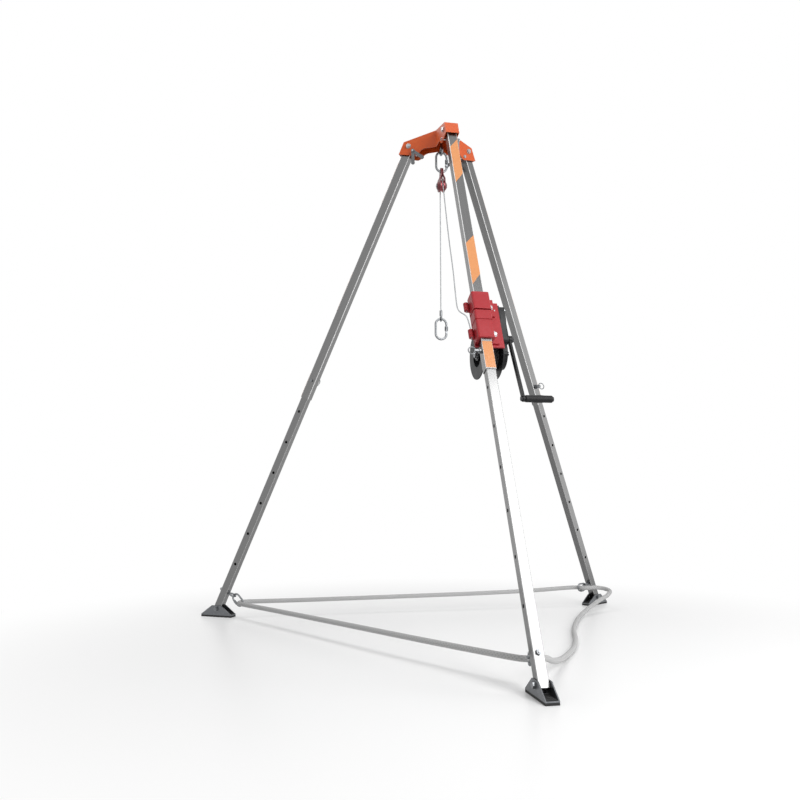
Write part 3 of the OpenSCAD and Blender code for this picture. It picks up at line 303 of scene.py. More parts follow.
SHEET_EDGE = 0.0012
BOLT_EDGE = 0.0004
broken_edges("head_shell", SHEET_EDGE, orange_coat)
broken_edges("pivot_bolts", BOLT_EDGE, bright_zinc)
broken_edges("clamp_bolts", BOLT_EDGE, bright_zinc)
broken_edges("head_eye_bolt", BOLT_EDGE, zinc)
broken_edges("pivot_spacers", BOLT_EDGE, nylon)


# WING NUTS
# Wing nuts of cast iron with a grey phosphate skin. One turns on each clamp bolt and draws the
# cheeks of its arm in on the leg.
WING_EDGE = 0.0009
# The legs' bearings about the upright axis, in degrees
LEGS = {"front": -90, "right": 30, "left": 150}
# Phosphated cast iron: dull grey, with the grain of the sand mould
cast_iron = mottled("phosphated_cast_iron", "#5d5f61", "#77797b", metallic=0.5, roughness=0.5,
                    grain=0.0014, detail=3.0, relief=(0.4, 0.0002))
for leg in LEGS:
    broken_edges(f"wing_nut_{leg}", WING_EDGE, cast_iron)


# LEGS
# Extruded aluminium square tubes, one inside the other, satin anodised, with faint lines along them
# from the die. A steel pin locks the inner tube at one of its holes. The pin, the bolts and the
# link for the rope are zinc plated.
_, pivot_y, PIVOT_HEIGHT = joints["fold_front"]["pos_m"]
PIVOT_REACH = AXIS_Y - pivot_y
_, slide_back, slide_up = joints["slide_front"]["axis"]
LEAN = math.atan2(slide_back, slide_up)
OUTER_HALF = 0.020
INNER_HALF = 0.0175
TUBE_EDGE = 0.0005
PIN_EDGE = 0.0005


def leg_place(bearing, out, across, down):
    """A point of a leg: out from its centre line, across it, and down from its pivot."""
    turn = math.radians(bearing)
    reach = PIVOT_REACH + down * math.sin(LEAN) + out * math.cos(LEAN)
    height = PIVOT_HEIGHT + out * math.sin(LEAN) - down * math.cos(LEAN)
    return Vector((reach * math.cos(turn) - across * math.sin(turn),
                   AXIS_Y + reach * math.sin(turn) + across * math.cos(turn), height))


def extruded_alloy(name, bearing, half, dark, light, rub, roughness):
    """Anodised extrusion: die lines along a tube of this half width, and corners made rougher and painted
    bright in the rub colour, a painted highlight.
    """
    material, tree, shader = new_finish(name, light, 1.0, roughness)
    place = add_node(tree, "ShaderNodeTexCoord").outputs["Object"]
    pivot = leg_place(bearing, 0, 0, 0)
    from_pivot = add_node(tree, "ShaderNodeVectorMath", {"operation": "SUBTRACT"}, {0: place, 1: pivot})
    in_leg = []
    for way in ((1, 0, 0), (0, 1, 0), (0, 0, 1)):
        axis = leg_place(bearing, *way) - pivot
        reach = add_node(tree, "ShaderNodeVectorMath", {"operation": "DOT_PRODUCT"},
                         {0: from_pivot.outputs[0], 1: axis})
        in_leg.append(reach.outputs["Value"])
    # The lines are drawn wider than a die leaves them, so that they show
    line_width = 0.0012
    line_length = 0.5
    along = add_node(tree, "ShaderNodeCombineXYZ", numbered=dict(enumerate(in_leg)))
    drawn = add_node(tree, "ShaderNodeMapping", Vector=along.outputs[0],
                     Scale=(1 / line_width, 1 / line_width, 1 / line_length))
    lines = add_node(tree, "ShaderNodeTexNoise", Vector=drawn.outputs[0], Scale=1.0, Detail=3.0)
    tone = add_node(tree, "ShaderNodeValToRGB", Fac=lines.outputs["Fac"])
    tone.color_ramp.elements[0].color = srgb(dark)
    tone.color_ramp.elements[1].color = srgb(light)
    off_axis = {}
    for side in (0, 1):
        distance = add_node(tree, "ShaderNodeMath", {"operation": "ABSOLUTE"}, {0: in_leg[side]})
        off_axis[side] = distance.outputs[0]
    corner = add_node(tree, "ShaderNodeMath", {"operation": "MINIMUM"}, off_axis)
    # A band along each corner is painted bright in the rub colour, a painted highlight, and made rougher
    rub_and_highlight_width = 0.003
    corner_rub_and_highlight = add_node(tree, "ShaderNodeMapRange", {"interpolation_type": "SMOOTHSTEP"},
                      Value=corner.outputs[0], From_Min=half - rub_and_highlight_width, From_Max=half - rub_and_highlight_width / 2)
    tint = add_node(tree, "ShaderNodeMix", {"data_type": "RGBA"},
                    {FIRST_COLOUR: tone.outputs[0], SECOND_COLOUR: srgb(rub)}, Factor=corner_rub_and_highlight.outputs[0])
    dull = add_node(tree, "ShaderNodeMapRange", Value=lines.outputs["Fac"],
                    To_Min=roughness - 0.07, To_Max=roughness + 0.07)
    scuffed = add_node(tree, "ShaderNodeMapRange", Value=corner_rub_and_highlight.outputs[0],
                       To_Min=dull.outputs[0], To_Max=0.75)
    bump = add_node(tree, "ShaderNodeBump", Height=lines.outputs["Fac"], Strength=0.12, Distance=0.0001)
    tree.links.new(tint.outputs[MIXED_COLOUR], shader.inputs["Base Color"])
    tree.links.new(scuffed.outputs[0], shader.inputs["Roughness"])
    tree.links.new(bump.outputs[0], shader.inputs["Normal"])
    return material


for leg, bearing in LEGS.items():
    # The rub colours are painted highlights along the tubes' corners
    outer_alloy = extruded_alloy(f"anodised_outer_tube_{leg}", bearing, OUTER_HALF,
                                 dark="#767676", light="#828282", rub="#dadada", roughness=0.26)
    inner_alloy = extruded_alloy(f"anodised_inner_tube_{leg}", bearing, INNER_HALF,
                                 dark="#747474", light="#7e7e7e", rub="#acacac", roughness=0.22)
    broken_edges(f"upper_leg_{leg}", TUBE_EDGE, outer_alloy)
    broken_edges(f"lower_leg_{leg}", TUBE_EDGE, inner_alloy)
    broken_edges(f"leg_fasteners_{leg}", BOLT_EDGE, zinc)
    broken_edges(f"rope_link_{leg}", BOLT_EDGE, zinc)
    broken_edges(f"lock_pin_{leg}", PIN_EDGE, zinc)


# ORANGE MARKS
# Strips of retroreflective film, stuck on the outer face of each outer tube: two slanted marks and
# a plain one at the tube's end. The film is a sheet of tiny prisms under a clear skin.
FILM_HALF = 0.0185
FILM_THICK = 0.00025
FILM_GAP = 0.00003
# Retroreflective film: pale orange with darker lines between its prisms, which are drawn larger than
# they are so that they show
film, tree, shader = new_finish("orange_retroreflective_film", "#e09658", metallic=0.0, roughness=0.42)
shader.inputs["Coat Weight"].default_value = 0.35
shader.inputs["Coat Roughness"].default_value = 0.12
place = add_node(tree, "ShaderNodeTexCoord").outputs["Object"]
prism_size = 0.003
prisms = add_node(tree, "ShaderNodeTexVoronoi", {"feature": "DISTANCE_TO_EDGE"},
                  Vector=place, Scale=1 / prism_size)
prism_tone = add_node(tree, "ShaderNodeValToRGB", Fac=prisms.outputs["Distance"])
prism_tone.color_ramp.elements[0].color = srgb("#d2803f")
prism_tone.color_ramp.elements[1].color = srgb("#e2995c")
prism_tone.color_ramp.elements[1].position = 0.12
tree.links.new(prism_tone.outputs[0], shader.inputs["Base Color"])

# The skin, the underside and the four sides, by their corners
FILM_FACES = [(0, 1, 2, 3), (7, 6, 5, 4), (0, 4, 5, 1), (1, 5, 6, 2), (2, 6, 7, 3), (3, 7, 4, 0)]
# Stations down the leg at the left and right edge: top left, bottom left, bottom right, top right
MARKS = {"upper": (0.131, 0.339, 0.283, 0.078), "middle": (0.670, 0.875, 0.822, 0.626),
         "lower": (1.136, 1.249, 1.249, 1.136)}
for leg, bearing in LEGS.items():
    for mark, stations in MARKS.items():
        corners = list(zip((-FILM_HALF, -FILM_HALF, FILM_HALF, FILM_HALF), stations))
        skin = [leg_place(bearing, OUTER_HALF + FILM_THICK, across, down) for across, down in corners]
        under = [leg_place(bearing, OUTER_HALF + FILM_GAP, across, down) for across, down in corners]
        mesh = bpy.data.meshes.new(f"{mark}_mark_{leg}")
        mesh.from_pydata(skin + under, [], FILM_FACES)
        mesh.materials.append(film)
        new_piece(mesh, f"upper_{leg}")


# FEET
# Folded steel channels, zinc-flake coated in grey, that tilt on a bolt through the inner tube.
# Each stands on a moulded rubber sole that the heads of two screws hold, with a studded mat on
# its floor in front of the tube and one behind.
CHANNEL_EDGE = 0.0007
SOLE_EDGE = 0.0008
# Zinc-flake coat: a dull grey, a little cloudy
foot_coat = zinc_plate("zinc_flake_coated_steel", "#66686b", "#7a7c7f", roughness=0.38)
# Moulded rubber: a dull black, paler where dust sits in its scuffs
rubber = mottled("black_moulded_rubber", "#111111", "#2c2c2c", metallic=0.0, roughness=0.78,
                 grain=0.012, detail=8.0, breakup=0.7, relief=(0.3, 0.0004))
for leg in LEGS:
    broken_edges(f"foot_bracket_{leg}", CHANNEL_EDGE, foot_coat)
    broken_edges(f"foot_sole_{leg}", SOLE_EDGE, rubber)


def new_maker(name, inputs):
    """A Geometry Nodes tree with named inputs, and the sockets that hand those on."""
    tree = bpy.data.node_groups.new(name, "GeometryNodeTree")
    for label, kind in inputs.items():
        tree.interface.new_socket(label, in_out="INPUT", socket_type="NodeSocket" + kind)
    tree.interface.new_socket("Made", in_out="OUTPUT", socket_type="NodeSocketGeometry")
    return tree, add_node(tree, "NodeGroupInput").outputs


def end_maker(tree, made, finish):
    """Ends a Geometry Nodes tree: its copies become real and get their finish."""
    real = add_node(tree, "GeometryNodeRealizeInstances", Geometry=made)
    coated = add_node(tree, "GeometryNodeSetMaterial", Geometry=real.outputs[0], Material=finish)
    add_node(tree, "NodeGroupOutput", Made=coated.outputs[0])


def grown(name, tree, sizes, line=()):
    """A plain mesh from a Geometry Nodes tree, with its named inputs set first."""
    base = bpy.data.meshes.new(name + "_base")
    base.from_pydata([tuple(p) for p in line], [(i, i + 1) for i in range(len(line) - 1)], [])
    carrier = bpy.data.objects.new(name + "_carrier", base)
    scene.collection.objects.link(carrier)
    maker = carrier.modifiers.new("maker", "NODES")
    maker.node_group = tree
    for socket in tree.interface.items_tree:
        if socket.in_out == "INPUT" and socket.name in sizes:
            maker[socket.identifier] = sizes[socket.name]
    mesh = made_plain(carrier)
    mesh.name = name
    return mesh


# The mats' tree: a sheet with a grid of small studs
MAT_LENGTH, MAT_WIDTH, MAT_THICK = 0.062, 0.033, 0.0022
MAT_BOTTOM = 0.0121
MAT_REACH = 0.0425
STUD_ROWS, STUD_COLUMNS = 9, 5
STUD_RADIUS, STUD_TOP = 0.0022, 0.0011
STUD_RISE = 0.0004
STUDDED_SHARE = 0.86
mat_maker, asked = new_maker("studded_mat", {
    "Length": "Float", "Width": "Float", "Thickness": "Float", "Rows": "Int", "Columns": "Int",
    "Stud Radius": "Float", "Finish": "Material"})
extent = add_node(mat_maker, "ShaderNodeCombineXYZ",
                  X=asked["Length"], Y=asked["Width"], Z=asked["Thickness"])
sheet = add_node(mat_maker, "GeometryNodeMeshCube", Size=extent.outputs[0])
studded = add_node(mat_maker, "ShaderNodeVectorMath", {"operation": "SCALE"}, {0: extent.outputs[0]},
                   Scale=STUDDED_SHARE)
sides = add_node(mat_maker, "ShaderNodeSeparateXYZ", numbered={0: studded.outputs[0]}).outputs
places = add_node(mat_maker, "GeometryNodeMeshGrid", Size_X=sides["X"], Size_Y=sides["Y"],
                  Vertices_X=asked["Rows"], Vertices_Y=asked["Columns"])
raised = add_node(mat_maker, "GeometryNodeTransform",
                  Geometry=places.outputs[0], Translation=(0, 0, STUD_RISE))
stud = add_node(mat_maker, "GeometryNodeMeshCone", Vertices=10, Radius_Top=STUD_TOP,
                Radius_Bottom=asked["Stud Radius"], Depth=asked["Thickness"])
studs = add_node(mat_maker, "GeometryNodeInstanceOnPoints",
                 Points=raised.outputs[0], Instance=stud.outputs[0])
joined = add_node(mat_maker, "GeometryNodeJoinGeometry")
for part in (sheet, studs):
    mat_maker.links.new(part.outputs[0], joined.inputs[0])
end_maker(mat_maker, joined.outputs[0], asked["Finish"])

for leg, bearing in LEGS.items():
    pivot_x, pivot_y, _ = joints[f"foot_tilt_{leg}"]["pos_m"]
    under_pivot = Matrix.Translation((pivot_x, pivot_y, MAT_BOTTOM + MAT_THICK / 2))
    turn = Matrix.Rotation(math.radians(bearing), 4, "Z")
    for end, reach in (("heel", -MAT_REACH), ("toe", MAT_REACH)):
        mesh = grown(f"foot_mat_{leg}_{end}", mat_maker, {
            "Length": MAT_LENGTH, "Width": MAT_WIDTH, "Thickness": MAT_THICK, "Rows": STUD_ROWS,
            "Columns": STUD_COLUMNS, "Stud Radius": STUD_RADIUS, "Finish": rubber})
        mesh.transform(under_pivot @ turn @ Matrix.Translation((reach, 0, 0)))
        smooth_by_angle(mesh, degrees=30)
        new_piece(mesh, f"foot_{leg}")


# WINCH BRACKET
# A red powder-coated plate behind the front leg, and two thick saddles that swing round the
# tube on hinge pins and are bolted shut.
red_coat = powder_coat("red_powder_coat_on_steel", "#a8242c", "#b23a41", roughness=0.38, shine=0.35)
for name in ("bracket_plate", "upper_saddle", "lower_saddle"):
    broken_edges(name, SHEET_EDGE, red_coat)
broken_edges("winch_fasteners", BOLT_EDGE, bright_zinc)


# WINCH
# A hand winch: base, case, drum and crank of black powder-coated steel, with a zinc-plated gear,
# pinion and axle, and a moulded grip that spins on its stud. Bolts hold it to the bracket's plate.
FINE_EDGE = 0.0003
black_coat = powder_coat("black_powder_coat_on_steel", "#131416", "#1d1e20", roughness=0.42, shine=0.3)
# Black oxide on the crank's nut and stud: a thin skin, dull where its oil has dried
black_oxide = mottled("black_oxide_steel", "#232325", "#343437", metallic=0.6, roughness=0.45,
                      grain=0.004, detail=3.0, gloss=(0.34, 0.55))
for name, edge, finish in (("winch_base", 0.0008, black_coat), ("gear_case", 0.0014, black_coat),
                           ("gear_cover", 0.0012, black_coat), ("drum", 0.0008, black_coat),
                           ("drum_axle", FINE_EDGE, zinc), ("drum_gear", FINE_EDGE, zinc),
                           ("crank_pinion", FINE_EDGE, zinc), ("crank_arm", 0.0008, black_coat),
                           ("crank_fasteners", FINE_EDGE, black_oxide), ("crank_grip", 0.0006, nylon)):
    broken_edges(name, edge, finish)


# PULLEY
# A block with a turned sheave between two alloy cheeks, coated dark red, on a plain steel axle. A
# press has bent the upper ends of the cheeks together, where the carabiner goes through them.
CHEEK_EDGE = 0.0008
SHEAVE_HEIGHT = 1.961
BEND_FOOT, BEND_NECK = 0.029, 0.050
BEND_STEPS = 8
CHEEK_PRESS = 0.0075


def pressed_together(shape):
    """Bends the upper ends of the cheeks together above the sheave, as a press does."""
    for step in range(BEND_STEPS + 1):
        level = SHEAVE_HEIGHT + BEND_FOOT + (BEND_NECK - BEND_FOOT) * step / BEND_STEPS
        bmesh.ops.bisect_plane(shape, geom=shape.verts[:] + shape.edges[:] + shape.faces[:], dist=1e-6,
                               plane_co=(0, 0, level), plane_no=(0, 0, 1))
    for corner in shape.verts:
        risen = (corner.co.z - SHEAVE_HEIGHT - BEND_FOOT) / (BEND_NECK - BEND_FOOT)
        risen = min(max(risen, 0), 1)
        corner.co.x -= math.copysign(CHEEK_PRESS * risen * risen * (3 - 2 * risen), corner.co.x)


cheek_coat = powder_coat("dark_red_powder_coat_on_alloy", "#74242a", "#8a3238", roughness=0.32)
# Turned alloy, dyed red when anodised: satin, with tool marks round it, drawn coarse enough to show
sheave_alloy, tree, shader = new_finish("red_anodised_turned_alloy", "#98484e",
                                        metallic=0.7, roughness=0.32)
place = add_node(tree, "ShaderNodeTexCoord").outputs["Object"]
tool_pitch = 0.0006
round_axis = add_node(tree, "ShaderNodeMapping", Vector=place, Scale=(1 / tool_pitch, 0, 0))
marks = add_node(tree, "ShaderNodeTexNoise", Vector=round_axis.outputs[0], Scale=1.0, Detail=2.0)
mark_tone = add_node(tree, "ShaderNodeValToRGB", Fac=marks.outputs["Fac"])
mark_tone.color_ramp.elements[0].color = srgb("#8a3a40")
mark_tone.color_ramp.elements[1].color = srgb("#a6565c")
bump = add_node(tree, "ShaderNodeBump", Height=marks.outputs["Fac"], Strength=0.2, Distance=0.0001)
tree.links.new(mark_tone.outputs[0], shader.inputs["Base Color"])
tree.links.new(bump.outputs[0], shader.inputs["Normal"])
broken_edges("pulley_cheeks", CHEEK_EDGE, cheek_coat, pressed_together)
broken_edges("pulley_sheave", FINE_EDGE, sheave_alloy)
broken_edges("pulley_axle", FINE_EDGE, zinc)


# CARABINERS
# Two screw carabiners of zinc-plated steel with sprung gates. One hangs the pulley from the head's
# eye, the other is the hook, in the thimble of the wire rope's eye.
for name in ("head_carabiner", "head_gate", "wire_thimble", "hook_carabiner", "hook_gate"):
    broken_edges(name, FINE_EDGE, zinc)

# The tree of the grip ribs round a gate's screw sleeve: a ring of straight ribs
RIBS = 28
RIB_SIZE = (0.0010, 0.0008, 0.016)
SLEEVE_RADIUS = 0.0070
SLEEVE_RISE = 0.018
rib_maker, asked = new_maker("ribbed_sleeve", {
    "Ribs": "Int", "Radius": "Float", "Rib Size": "Vector", "Finish": "Material"})
ring = add_node(rib_maker, "GeometryNodeCurvePrimitiveCircle",
                Resolution=asked["Ribs"], Radius=asked["Radius"])
facing = add_node(rib_maker, "GeometryNodeInputTangent")
turned = add_node(rib_maker, "FunctionNodeAlignEulerToVector", {"axis": "Y"}, Vector=facing.outputs[0])
rib = add_node(rib_maker, "GeometryNodeMeshCube", Size=asked["Rib Size"])
ribs = add_node(rib_maker, "GeometryNodeInstanceOnPoints",
                Points=ring.outputs[0], Instance=rib.outputs[0], Rotation=turned.outputs[0])
end_maker(rib_maker, ribs.outputs[0], asked["Finish"])
for end in ("head", "hook"):
    hinge_x, hinge_y, hinge_z = joints[f"gate_{end}_open"]["pos_m"]
    mesh = grown(f"{end}_sleeve_ribs", rib_maker, {
        "Ribs": RIBS, "Radius": SLEEVE_RADIUS, "Rib Size": RIB_SIZE, "Finish": zinc})
    mesh.transform(Matrix.Translation((hinge_x, hinge_y, hinge_z + SLEEVE_RISE)))
    new_piece(mesh, f"gate_{end}")


# WIRE ROPE
# Galvanised wire rope, 5 mm: six strands laid round a core. It runs from the hook's ferrule
# over the sheave, down beside the front leg, and round the drum in a full outer layer.
WIRE_DIAMETER = 0.005
STRANDS = 6
POINTS_A_STRAND = 4
LAY_LENGTH = 0.034
GROOVE = 0.17
WIRE_STEP = 0.003


def travel_along(line):
    """How far along a line each of its points lies."""
    return np.concatenate([[0], np.cumsum(np.linalg.norm(np.diff(line, axis=0), axis=1))])


def even_steps(line, step):
    """The same line with its points an even distance apart."""
    travel = travel_along(line)
    at = np.linspace(0, travel[-1], max(2, round(travel[-1] / step) + 1))
    return np.stack([np.interp(at, travel, line[:, k]) for k in range(3)], axis=1)


def smooth_line(points, step, closed=False):
    """Points at an even step on a centripetal spline through the given points."""
    points_a_span = 40
    given = np.array(points, float)
    if closed:
        held = np.vstack([given[-1:], given, given[:2]])
    else:
        held = np.vstack([2 * given[0] - given[1], given, 2 * given[-1] - given[-2]])
    fine = []
    for i in range(1, len(held) - 2):
        p = held[i - 1:i + 3]
        t = np.concatenate([[0], np.cumsum(np.sqrt(np.linalg.norm(np.diff(p, axis=0), axis=1)))])
        s = np.linspace(t[1], t[2], points_a_span, endpoint=False)[:, None]
        rows = [((t[k + 1] - s) * p[k] + (s - t[k]) * p[k + 1]) / (t[k + 1] - t[k]) for k in range(3)]
        pairs = [((t[k + 2] - s) * rows[k] + (s - t[k]) * rows[k + 1]) / (t[k + 2] - t[k])
                 for k in range(2)]
        fine.append(((t[2] - s) * pairs[0] + (s - t[1]) * pairs[1]) / (t[2] - t[1]))
    return even_steps(np.vstack(fine + [held[-2:-1]]), step)


# The wire's tree: sweeps a ring of strands along a line and turns it once in each lay length
wire_maker, asked = new_maker("laid_wire", {
    "Line": "Geometry", "Diameter": "Float", "Strands": "Int", "Lay Length": "Float",
    "Groove": "Float", "Finish": "Material"})
core = add_node(wire_maker, "GeometryNodeMeshToCurve", Mesh=asked["Line"])
travel = add_node(wire_maker, "GeometryNodeSplineParameter")
lays = add_node(wire_maker, "ShaderNodeMath", {"operation": "DIVIDE"},
                {0: travel.outputs["Length"], 1: asked["Lay Length"]})
tilt = add_node(wire_maker, "ShaderNodeMath", {"operation": "MULTIPLY"}, {0: lays.outputs[0], 1: math.tau})
twisted = add_node(wire_maker, "GeometryNodeSetCurveTilt", Curve=core.outputs[0], Tilt=tilt.outputs[0])
sides = add_node(wire_maker, "ShaderNodeMath", {"operation": "MULTIPLY"},
                 {0: asked["Strands"], 1: POINTS_A_STRAND})
half = add_node(wire_maker, "ShaderNodeMath", {"operation": "MULTIPLY"}, {0: asked["Diameter"], 1: 0.5})
ring = add_node(wire_maker, "GeometryNodeCurvePrimitiveCircle",
                Resolution=sides.outputs[0], Radius=half.outputs[0])
index = add_node(wire_maker, "GeometryNodeInputIndex")
phase = add_node(wire_maker, "ShaderNodeMath", {"operation": "MULTIPLY"},
                 {0: index.outputs[0], 1: math.pi / POINTS_A_STRAND})
wave = add_node(wire_maker, "ShaderNodeMath", {"operation": "COSINE"}, {0: phase.outputs[0]})
crown = add_node(wire_maker, "ShaderNodeMath", {"operation": "ABSOLUTE"}, {0: wave.outputs[0]})
hollow = add_node(wire_maker, "ShaderNodeMath", {"operation": "SUBTRACT"}, {0: 1.0, 1: crown.outputs[0]})
depth = add_node(wire_maker, "ShaderNodeMath", {"operation": "MULTIPLY"},
                 {0: hollow.outputs[0], 1: asked["Groove"]})
share = add_node(wire_maker, "ShaderNodeMath", {"operation": "SUBTRACT"}, {0: 1.0, 1: depth.outputs[0]})
spot = add_node(wire_maker, "GeometryNodeInputPosition")
drawn_in = add_node(wire_maker, "ShaderNodeVectorMath", {"operation": "SCALE"}, {0: spot.outputs[0]},
                    Scale=share.outputs[0])
strands = add_node(wire_maker, "GeometryNodeSetPosition",
                   Geometry=ring.outputs[0], Position=drawn_in.outputs[0])
swept = add_node(wire_maker, "GeometryNodeCurveToMesh",
                 Curve=twisted.outputs[0], Profile_Curve=strands.outputs[0], Fill_Caps=True)
end_maker(wire_maker, swept.outputs[0], asked["Finish"])

# Galvanised wire: grey zinc with small spangles. On the drum it is darker: greased, and painted shade
# between the drum's flanges
SPANGLE = 0.0025
galvanised = mottled("galvanised_wire", "#7d7f81", "#aeb0b2", metallic=1.0, roughness=0.4,
                     grain=SPANGLE, detail=3.0)
greased_wire_with_painted_shade = mottled("greased_galvanised_wire", "#303030", "#505050", metallic=0.6, roughness=0.5,
                  grain=SPANGLE, detail=3.0)


def wire_piece(name, line, stands_for, body=None, finish=galvanised):
    """A stretch of the wire rope along a line."""
    mesh = grown(name, wire_maker, {
        "Diameter": WIRE_DIAMETER, "Strands": STRANDS, "Lay Length": LAY_LENGTH, "Groove": GROOVE,
        "Finish": finish}, line)
    smooth_by_angle(mesh, degrees=60)
    piece = new_piece(mesh, body, [stands_for])
    return piece


# The fall from the sheave to the hook, and the wrap over the sheave
SHEAVE_RADIUS = 0.024
FERRULE_TOP = 1.3923
WRAP_END = math.radians(162)
WRAP_POINTS = 30
wrap = np.array([(0, AXIS_Y + SHEAVE_RADIUS * math.cos(a), SHEAVE_HEIGHT + SHEAVE_RADIUS * math.sin(a))
                 for a in np.linspace(0, WRAP_END, WRAP_POINTS)])
fall = even_steps(np.array([(0, AXIS_Y + SHEAVE_RADIUS, FERRULE_TOP), wrap[0]]), WIRE_STEP)
fall_piece = wire_piece("wire_fall_rope", fall, "wire_fall")
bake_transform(fall_piece)
wire_piece("wire_wrap_rope", wrap, "wire_fall", body="pulley")

# The slack lead from the sheave to the drum: from the upright axis, and down from the leg pivots
LEAD = [(0.001, -0.074, 0.359), (0.002, -0.115, 0.486), (0.003, -0.172, 0.636), (0.005, -0.222, 0.804),
        (0.0055, -0.238, 0.823), (0.006, -0.270, 0.841), (0.007, -0.318, 0.861), (0.008, -0.352, 0.878),
        (0.010, -0.376, 0.909), (0.014, -0.390, 0.944), (0.017, -0.405, 0.979), (0.017, -0.413, 1.004),
        (0.017, -0.419, 1.032)]
DRUM_REACH = 0.478709
DRUM_HEIGHT = 1.107086
WINDING_RADIUS = 0.058296
WINDING_START = 0.017
RUN_ON = 0.006
lead_end = (WINDING_START, AXIS_Y + WINDING_RADIUS - DRUM_REACH, DRUM_HEIGHT)
lead = smooth_line([wrap[-2], wrap[-1]] + [(x, y + AXIS_Y, PIVOT_HEIGHT - z) for x, y, z in LEAD]
                   + [lead_end, lead_end - np.array((0, 0, RUN_ON))], WIRE_STEP)
lead = lead[np.linalg.norm(lead - wrap[-1], axis=1).argmin():]
lead = lead[:np.linalg.norm(lead - lead_end, axis=1).argmin() + 1]
# The lead is parted at this depth below the leg pivots
LEAD_PARTING = 0.42
parting = int(np.abs(PIVOT_HEIGHT - lead[:len(lead) // 2, 2] - LEAD_PARTING).argmin())
upper_line, lower_line = lead[:parting + 1], lead[parting:]
upper_lead = wire_piece("wire_lead_upper_rope", upper_line, "wire_lead")
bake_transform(upper_lead)
lower_lead = wire_piece("wire_lead_lower_rope", lower_line, "wire_lead")
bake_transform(lower_lead)

# The drum's outer layer: its last quarter turn dips into the layer below
WINDING_PITCH = 0.0056
WINDING_TURNS = 11
POINTS_A_TURN = 96
DIP_DEPTH = 0.006
DIP_TURNS = 0.25
turns = np.linspace(0, WINDING_TURNS, WINDING_TURNS * POINTS_A_TURN + 1)
dip = DIP_DEPTH * np.clip((turns - WINDING_TURNS + DIP_TURNS) / DIP_TURNS, 0, 1) ** 2
wound = np.stack([WINDING_START + WINDING_PITCH * turns,
                  AXIS_Y - DRUM_REACH + (WINDING_RADIUS - dip) * np.cos(-math.tau * turns),
                  DRUM_HEIGHT + (WINDING_RADIUS - dip) * np.sin(-math.tau * turns)], axis=1)
# The wound layer takes the darker greased finish, which also paints the shade on the drum
wire_piece("wire_winding_rope", wound, "wire_winding", body="drum", finish=greased_wire_with_painted_shade)


# SAFETY ROPE
# A braided polyester rope, 20 mm, threaded through the links of the three feet so that the legs
# can't spread. Two sides are drawn straight and the third lies slack on the floor.
ROPE_DIAMETER = 0.020
ROPE_FACETS = 20
ROPE_STEP = 0.008
# The rope's route: points from the upright axis, and up from the floor
BACK = [(0.842, 0.487, 0.095), (0.825, 0.504, 0.094), (0.802, 0.510, 0.093), (0.600, 0.510, 0.084),
        (0.300, 0.511, 0.077), (0, 0.511, 0.074), (-0.300, 0.512, 0.071), (-0.600, 0.513, 0.069),
        (-0.815, 0.513, 0.069), (-0.838, 0.507, 0.069)]
FRONT_LEFT = [(-0.853, 0.492, 0.069), (-0.858, 0.471, 0.069), (-0.852, 0.450, 0.069),
              (-0.700, 0.189, 0.072), (-0.444, -0.252, 0.077), (-0.200, -0.671, 0.081),
              (-0.026, -0.955, 0.085), (-0.011, -0.970, 0.085)]
SLACK = [(0.010, -0.976, 0.085), (0.031, -0.977, 0.085), (0.055, -0.964, 0.082), (0.098, -0.905, 0.066),
         (0.140, -0.838, 0.044), (0.205, -0.745, 0.024), (0.285, -0.625, 0.012), (0.362, -0.507, 0.0105),
         (0.440, -0.348, 0.0105), (0.506, -0.188, 0.0105), (0.587, -0.025, 0.0105), (0.690, 0.150, 0.013),
         (0.770, 0.240, 0.028), (0.850, 0.290, 0.056), (0.920, 0.335, 0.076), (0.958, 0.390, 0.088),
         (0.948, 0.438, 0.094), (0.914, 0.458, 0.097), (0.880, 0.457, 0.096), (0.857, 0.465, 0.095)]

# Braided polyester: pale grey yarns that cross at a slant, with painted shade in the hollows between them
braid, tree, shader = new_finish("braided_polyester_rope", "#b6b6b6", metallic=0.0, roughness=0.8)
shader.inputs["Sheen Weight"].default_value = 0.05
PLAITS = 10
PLAIT_PITCH = 0.0065
# At this scale a diagonal wave of the texture takes up two plaits, one raised and one sunk
WAVE_SCALE = math.tau / 20
uv = add_node(tree, "ShaderNodeUVMap", {"uv_map": "UVMap"})
plaits = []
for lean in (1, -1):
    slant = add_node(tree, "ShaderNodeMapping", Vector=uv.outputs[0],
                     Scale=(lean * PLAITS, 1 / PLAIT_PITCH, 0))
    plaits.append(add_node(tree, "ShaderNodeTexWave", {"bands_direction": "DIAGONAL"},
                           Vector=slant.outputs[0], Scale=WAVE_SCALE, Distortion=0.0))
crossed = add_node(tree, "ShaderNodeMath", {"operation": "MAXIMUM"},
                   {0: plaits[0].outputs["Fac"], 1: plaits[1].outputs["Fac"]})
# The sunk hollows between the yarns are painted darker: painted shade
yarn_tone_shaded_hollows = add_node(tree, "ShaderNodeValToRGB", Fac=crossed.outputs[0])
yarn_tone_shaded_hollows.color_ramp.elements[0].position = 0.25
yarn_tone_shaded_hollows.color_ramp.elements[0].color = srgb("#a4a4a4")
yarn_tone_shaded_hollows.color_ramp.elements[1].color = srgb("#bababa")
bump = add_node(tree, "ShaderNodeBump", Height=crossed.outputs[0], Strength=0.4, Distance=0.0006)
tree.links.new(yarn_tone_shaded_hollows.outputs[0], shader.inputs["Base Color"])
tree.links.new(bump.outputs[0], shader.inputs["Normal"])


def rope_frames(line):
    """The two side directions at each point of a line, carried along without twist."""
    heading = np.gradient(line, axis=0)
    heading /= np.linalg.norm(heading, axis=1)[:, None]
    side = np.cross(heading[0], (0, 0, 1))
    sides = []
    for h in heading:
        side = side - h * (side @ h)
        side /= np.linalg.norm(side)
        sides.append(side)
    sides = np.array(sides)
    return sides, np.cross(heading, sides)


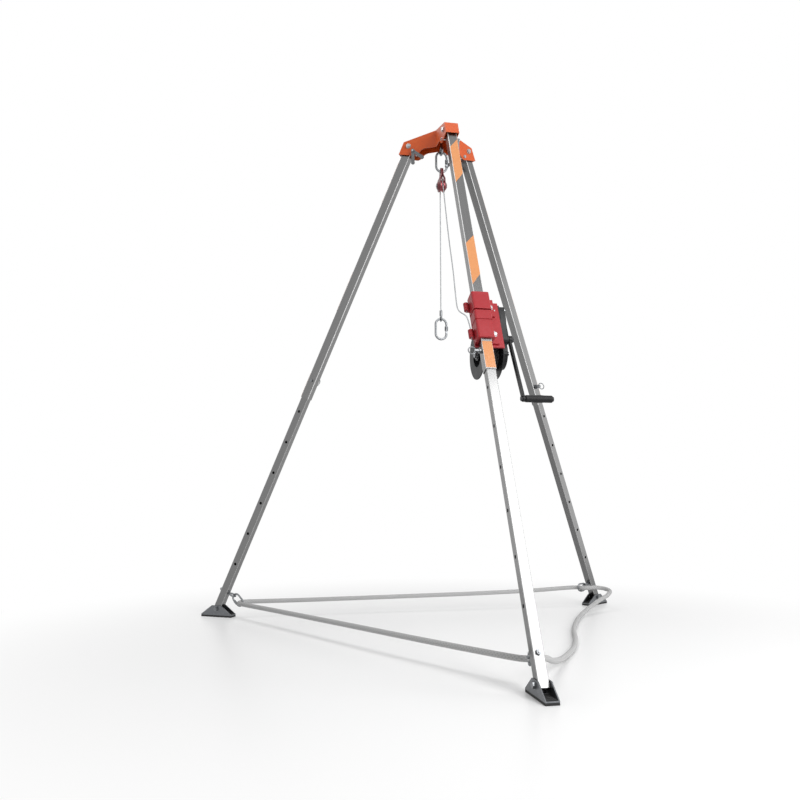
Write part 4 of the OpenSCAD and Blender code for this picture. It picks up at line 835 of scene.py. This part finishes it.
def rope_mesh(name, line, side, up, travel):
    """A closed tube along part of the rope, with yarns laid out on its UV map."""
    n = ROPE_FACETS
    angle = (np.arange(n) * math.tau / n)[None, :, None]
    outward = np.cos(angle) * side[:, None, :] + np.sin(angle) * up[:, None, :]
    skin = (line[:, None, :] + outward * ROPE_DIAMETER / 2).reshape(-1, 3)
    faces, uvs = [], []
    for i in range(len(line) - 1):
        start, end = travel[i], travel[i + 1]
        for k in range(n):
            after = (k + 1) % n
            faces.append((i * n + k, i * n + after, (i + 1) * n + after, (i + 1) * n + k))
            uvs += [(k / n, start), ((k + 1) / n, start), ((k + 1) / n, end), (k / n, end)]
    last = (len(line) - 1) * n
    faces += [tuple(range(n - 1, -1, -1)), tuple(last + k for k in range(n))]
    uvs += [(0.0, 0.0)] * (2 * n)
    mesh = bpy.data.meshes.new(name)
    mesh.from_pydata(skin.tolist(), [], faces)
    layer = mesh.uv_layers.new(name="UVMap")
    layer.data.foreach_set("uv", np.array(uvs, np.float32).ravel())
    mesh.polygons.foreach_set("use_smooth", [True] * (len(faces) - 2) + [False] * 2)
    mesh.normals_split_custom_set_from_vertices(outward.reshape(-1, 3).tolist())
    mesh.materials.append(braid)
    return mesh


loop = smooth_line([(x, y + AXIS_Y, z) for x, y, z in BACK + FRONT_LEFT + SLACK], ROPE_STEP, closed=True)
loop_side, loop_up = rope_frames(loop)
loop_travel = travel_along(loop)


def nearest(points):
    """The number of the rope's point that lies nearest to the first of some given points."""
    x, y, z = points[0]
    return int(np.linalg.norm(loop - (x, y + AXIS_Y, z), axis=1).argmin())


# Each side of the rope is four stretches, one for each joint between the lower tubes it links
SIDES = (("back", 0, nearest(FRONT_LEFT), "right", "left"),
         ("left", nearest(FRONT_LEFT), nearest(SLACK), "left", "front"),
         ("slack", nearest(SLACK), len(loop) - 1, "front", "right"))
for side, first, last, from_leg, to_leg in SIDES:
    carriers = ((f"lower_{from_leg}", f"upper_{from_leg}"), (f"upper_{from_leg}", "head"),
                ("head", f"upper_{to_leg}"), (f"upper_{to_leg}", f"lower_{to_leg}"))
    stretches = len(carriers)
    cuts = [first + round((last - first) * k / stretches) for k in range(stretches + 1)]
    for k, (before, after) in enumerate(carriers):
        a, b = cuts[k], cuts[k + 1]
        line = loop[a:b + 1]
        mesh = rope_mesh(f"safety_rope_{side}_{k + 1}", line, loop_side[a:b + 1], loop_up[a:b + 1],
                         loop_travel[a:b + 1])
        piece = new_piece(mesh, None, [f"rope_{side}"])
        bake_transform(piece)
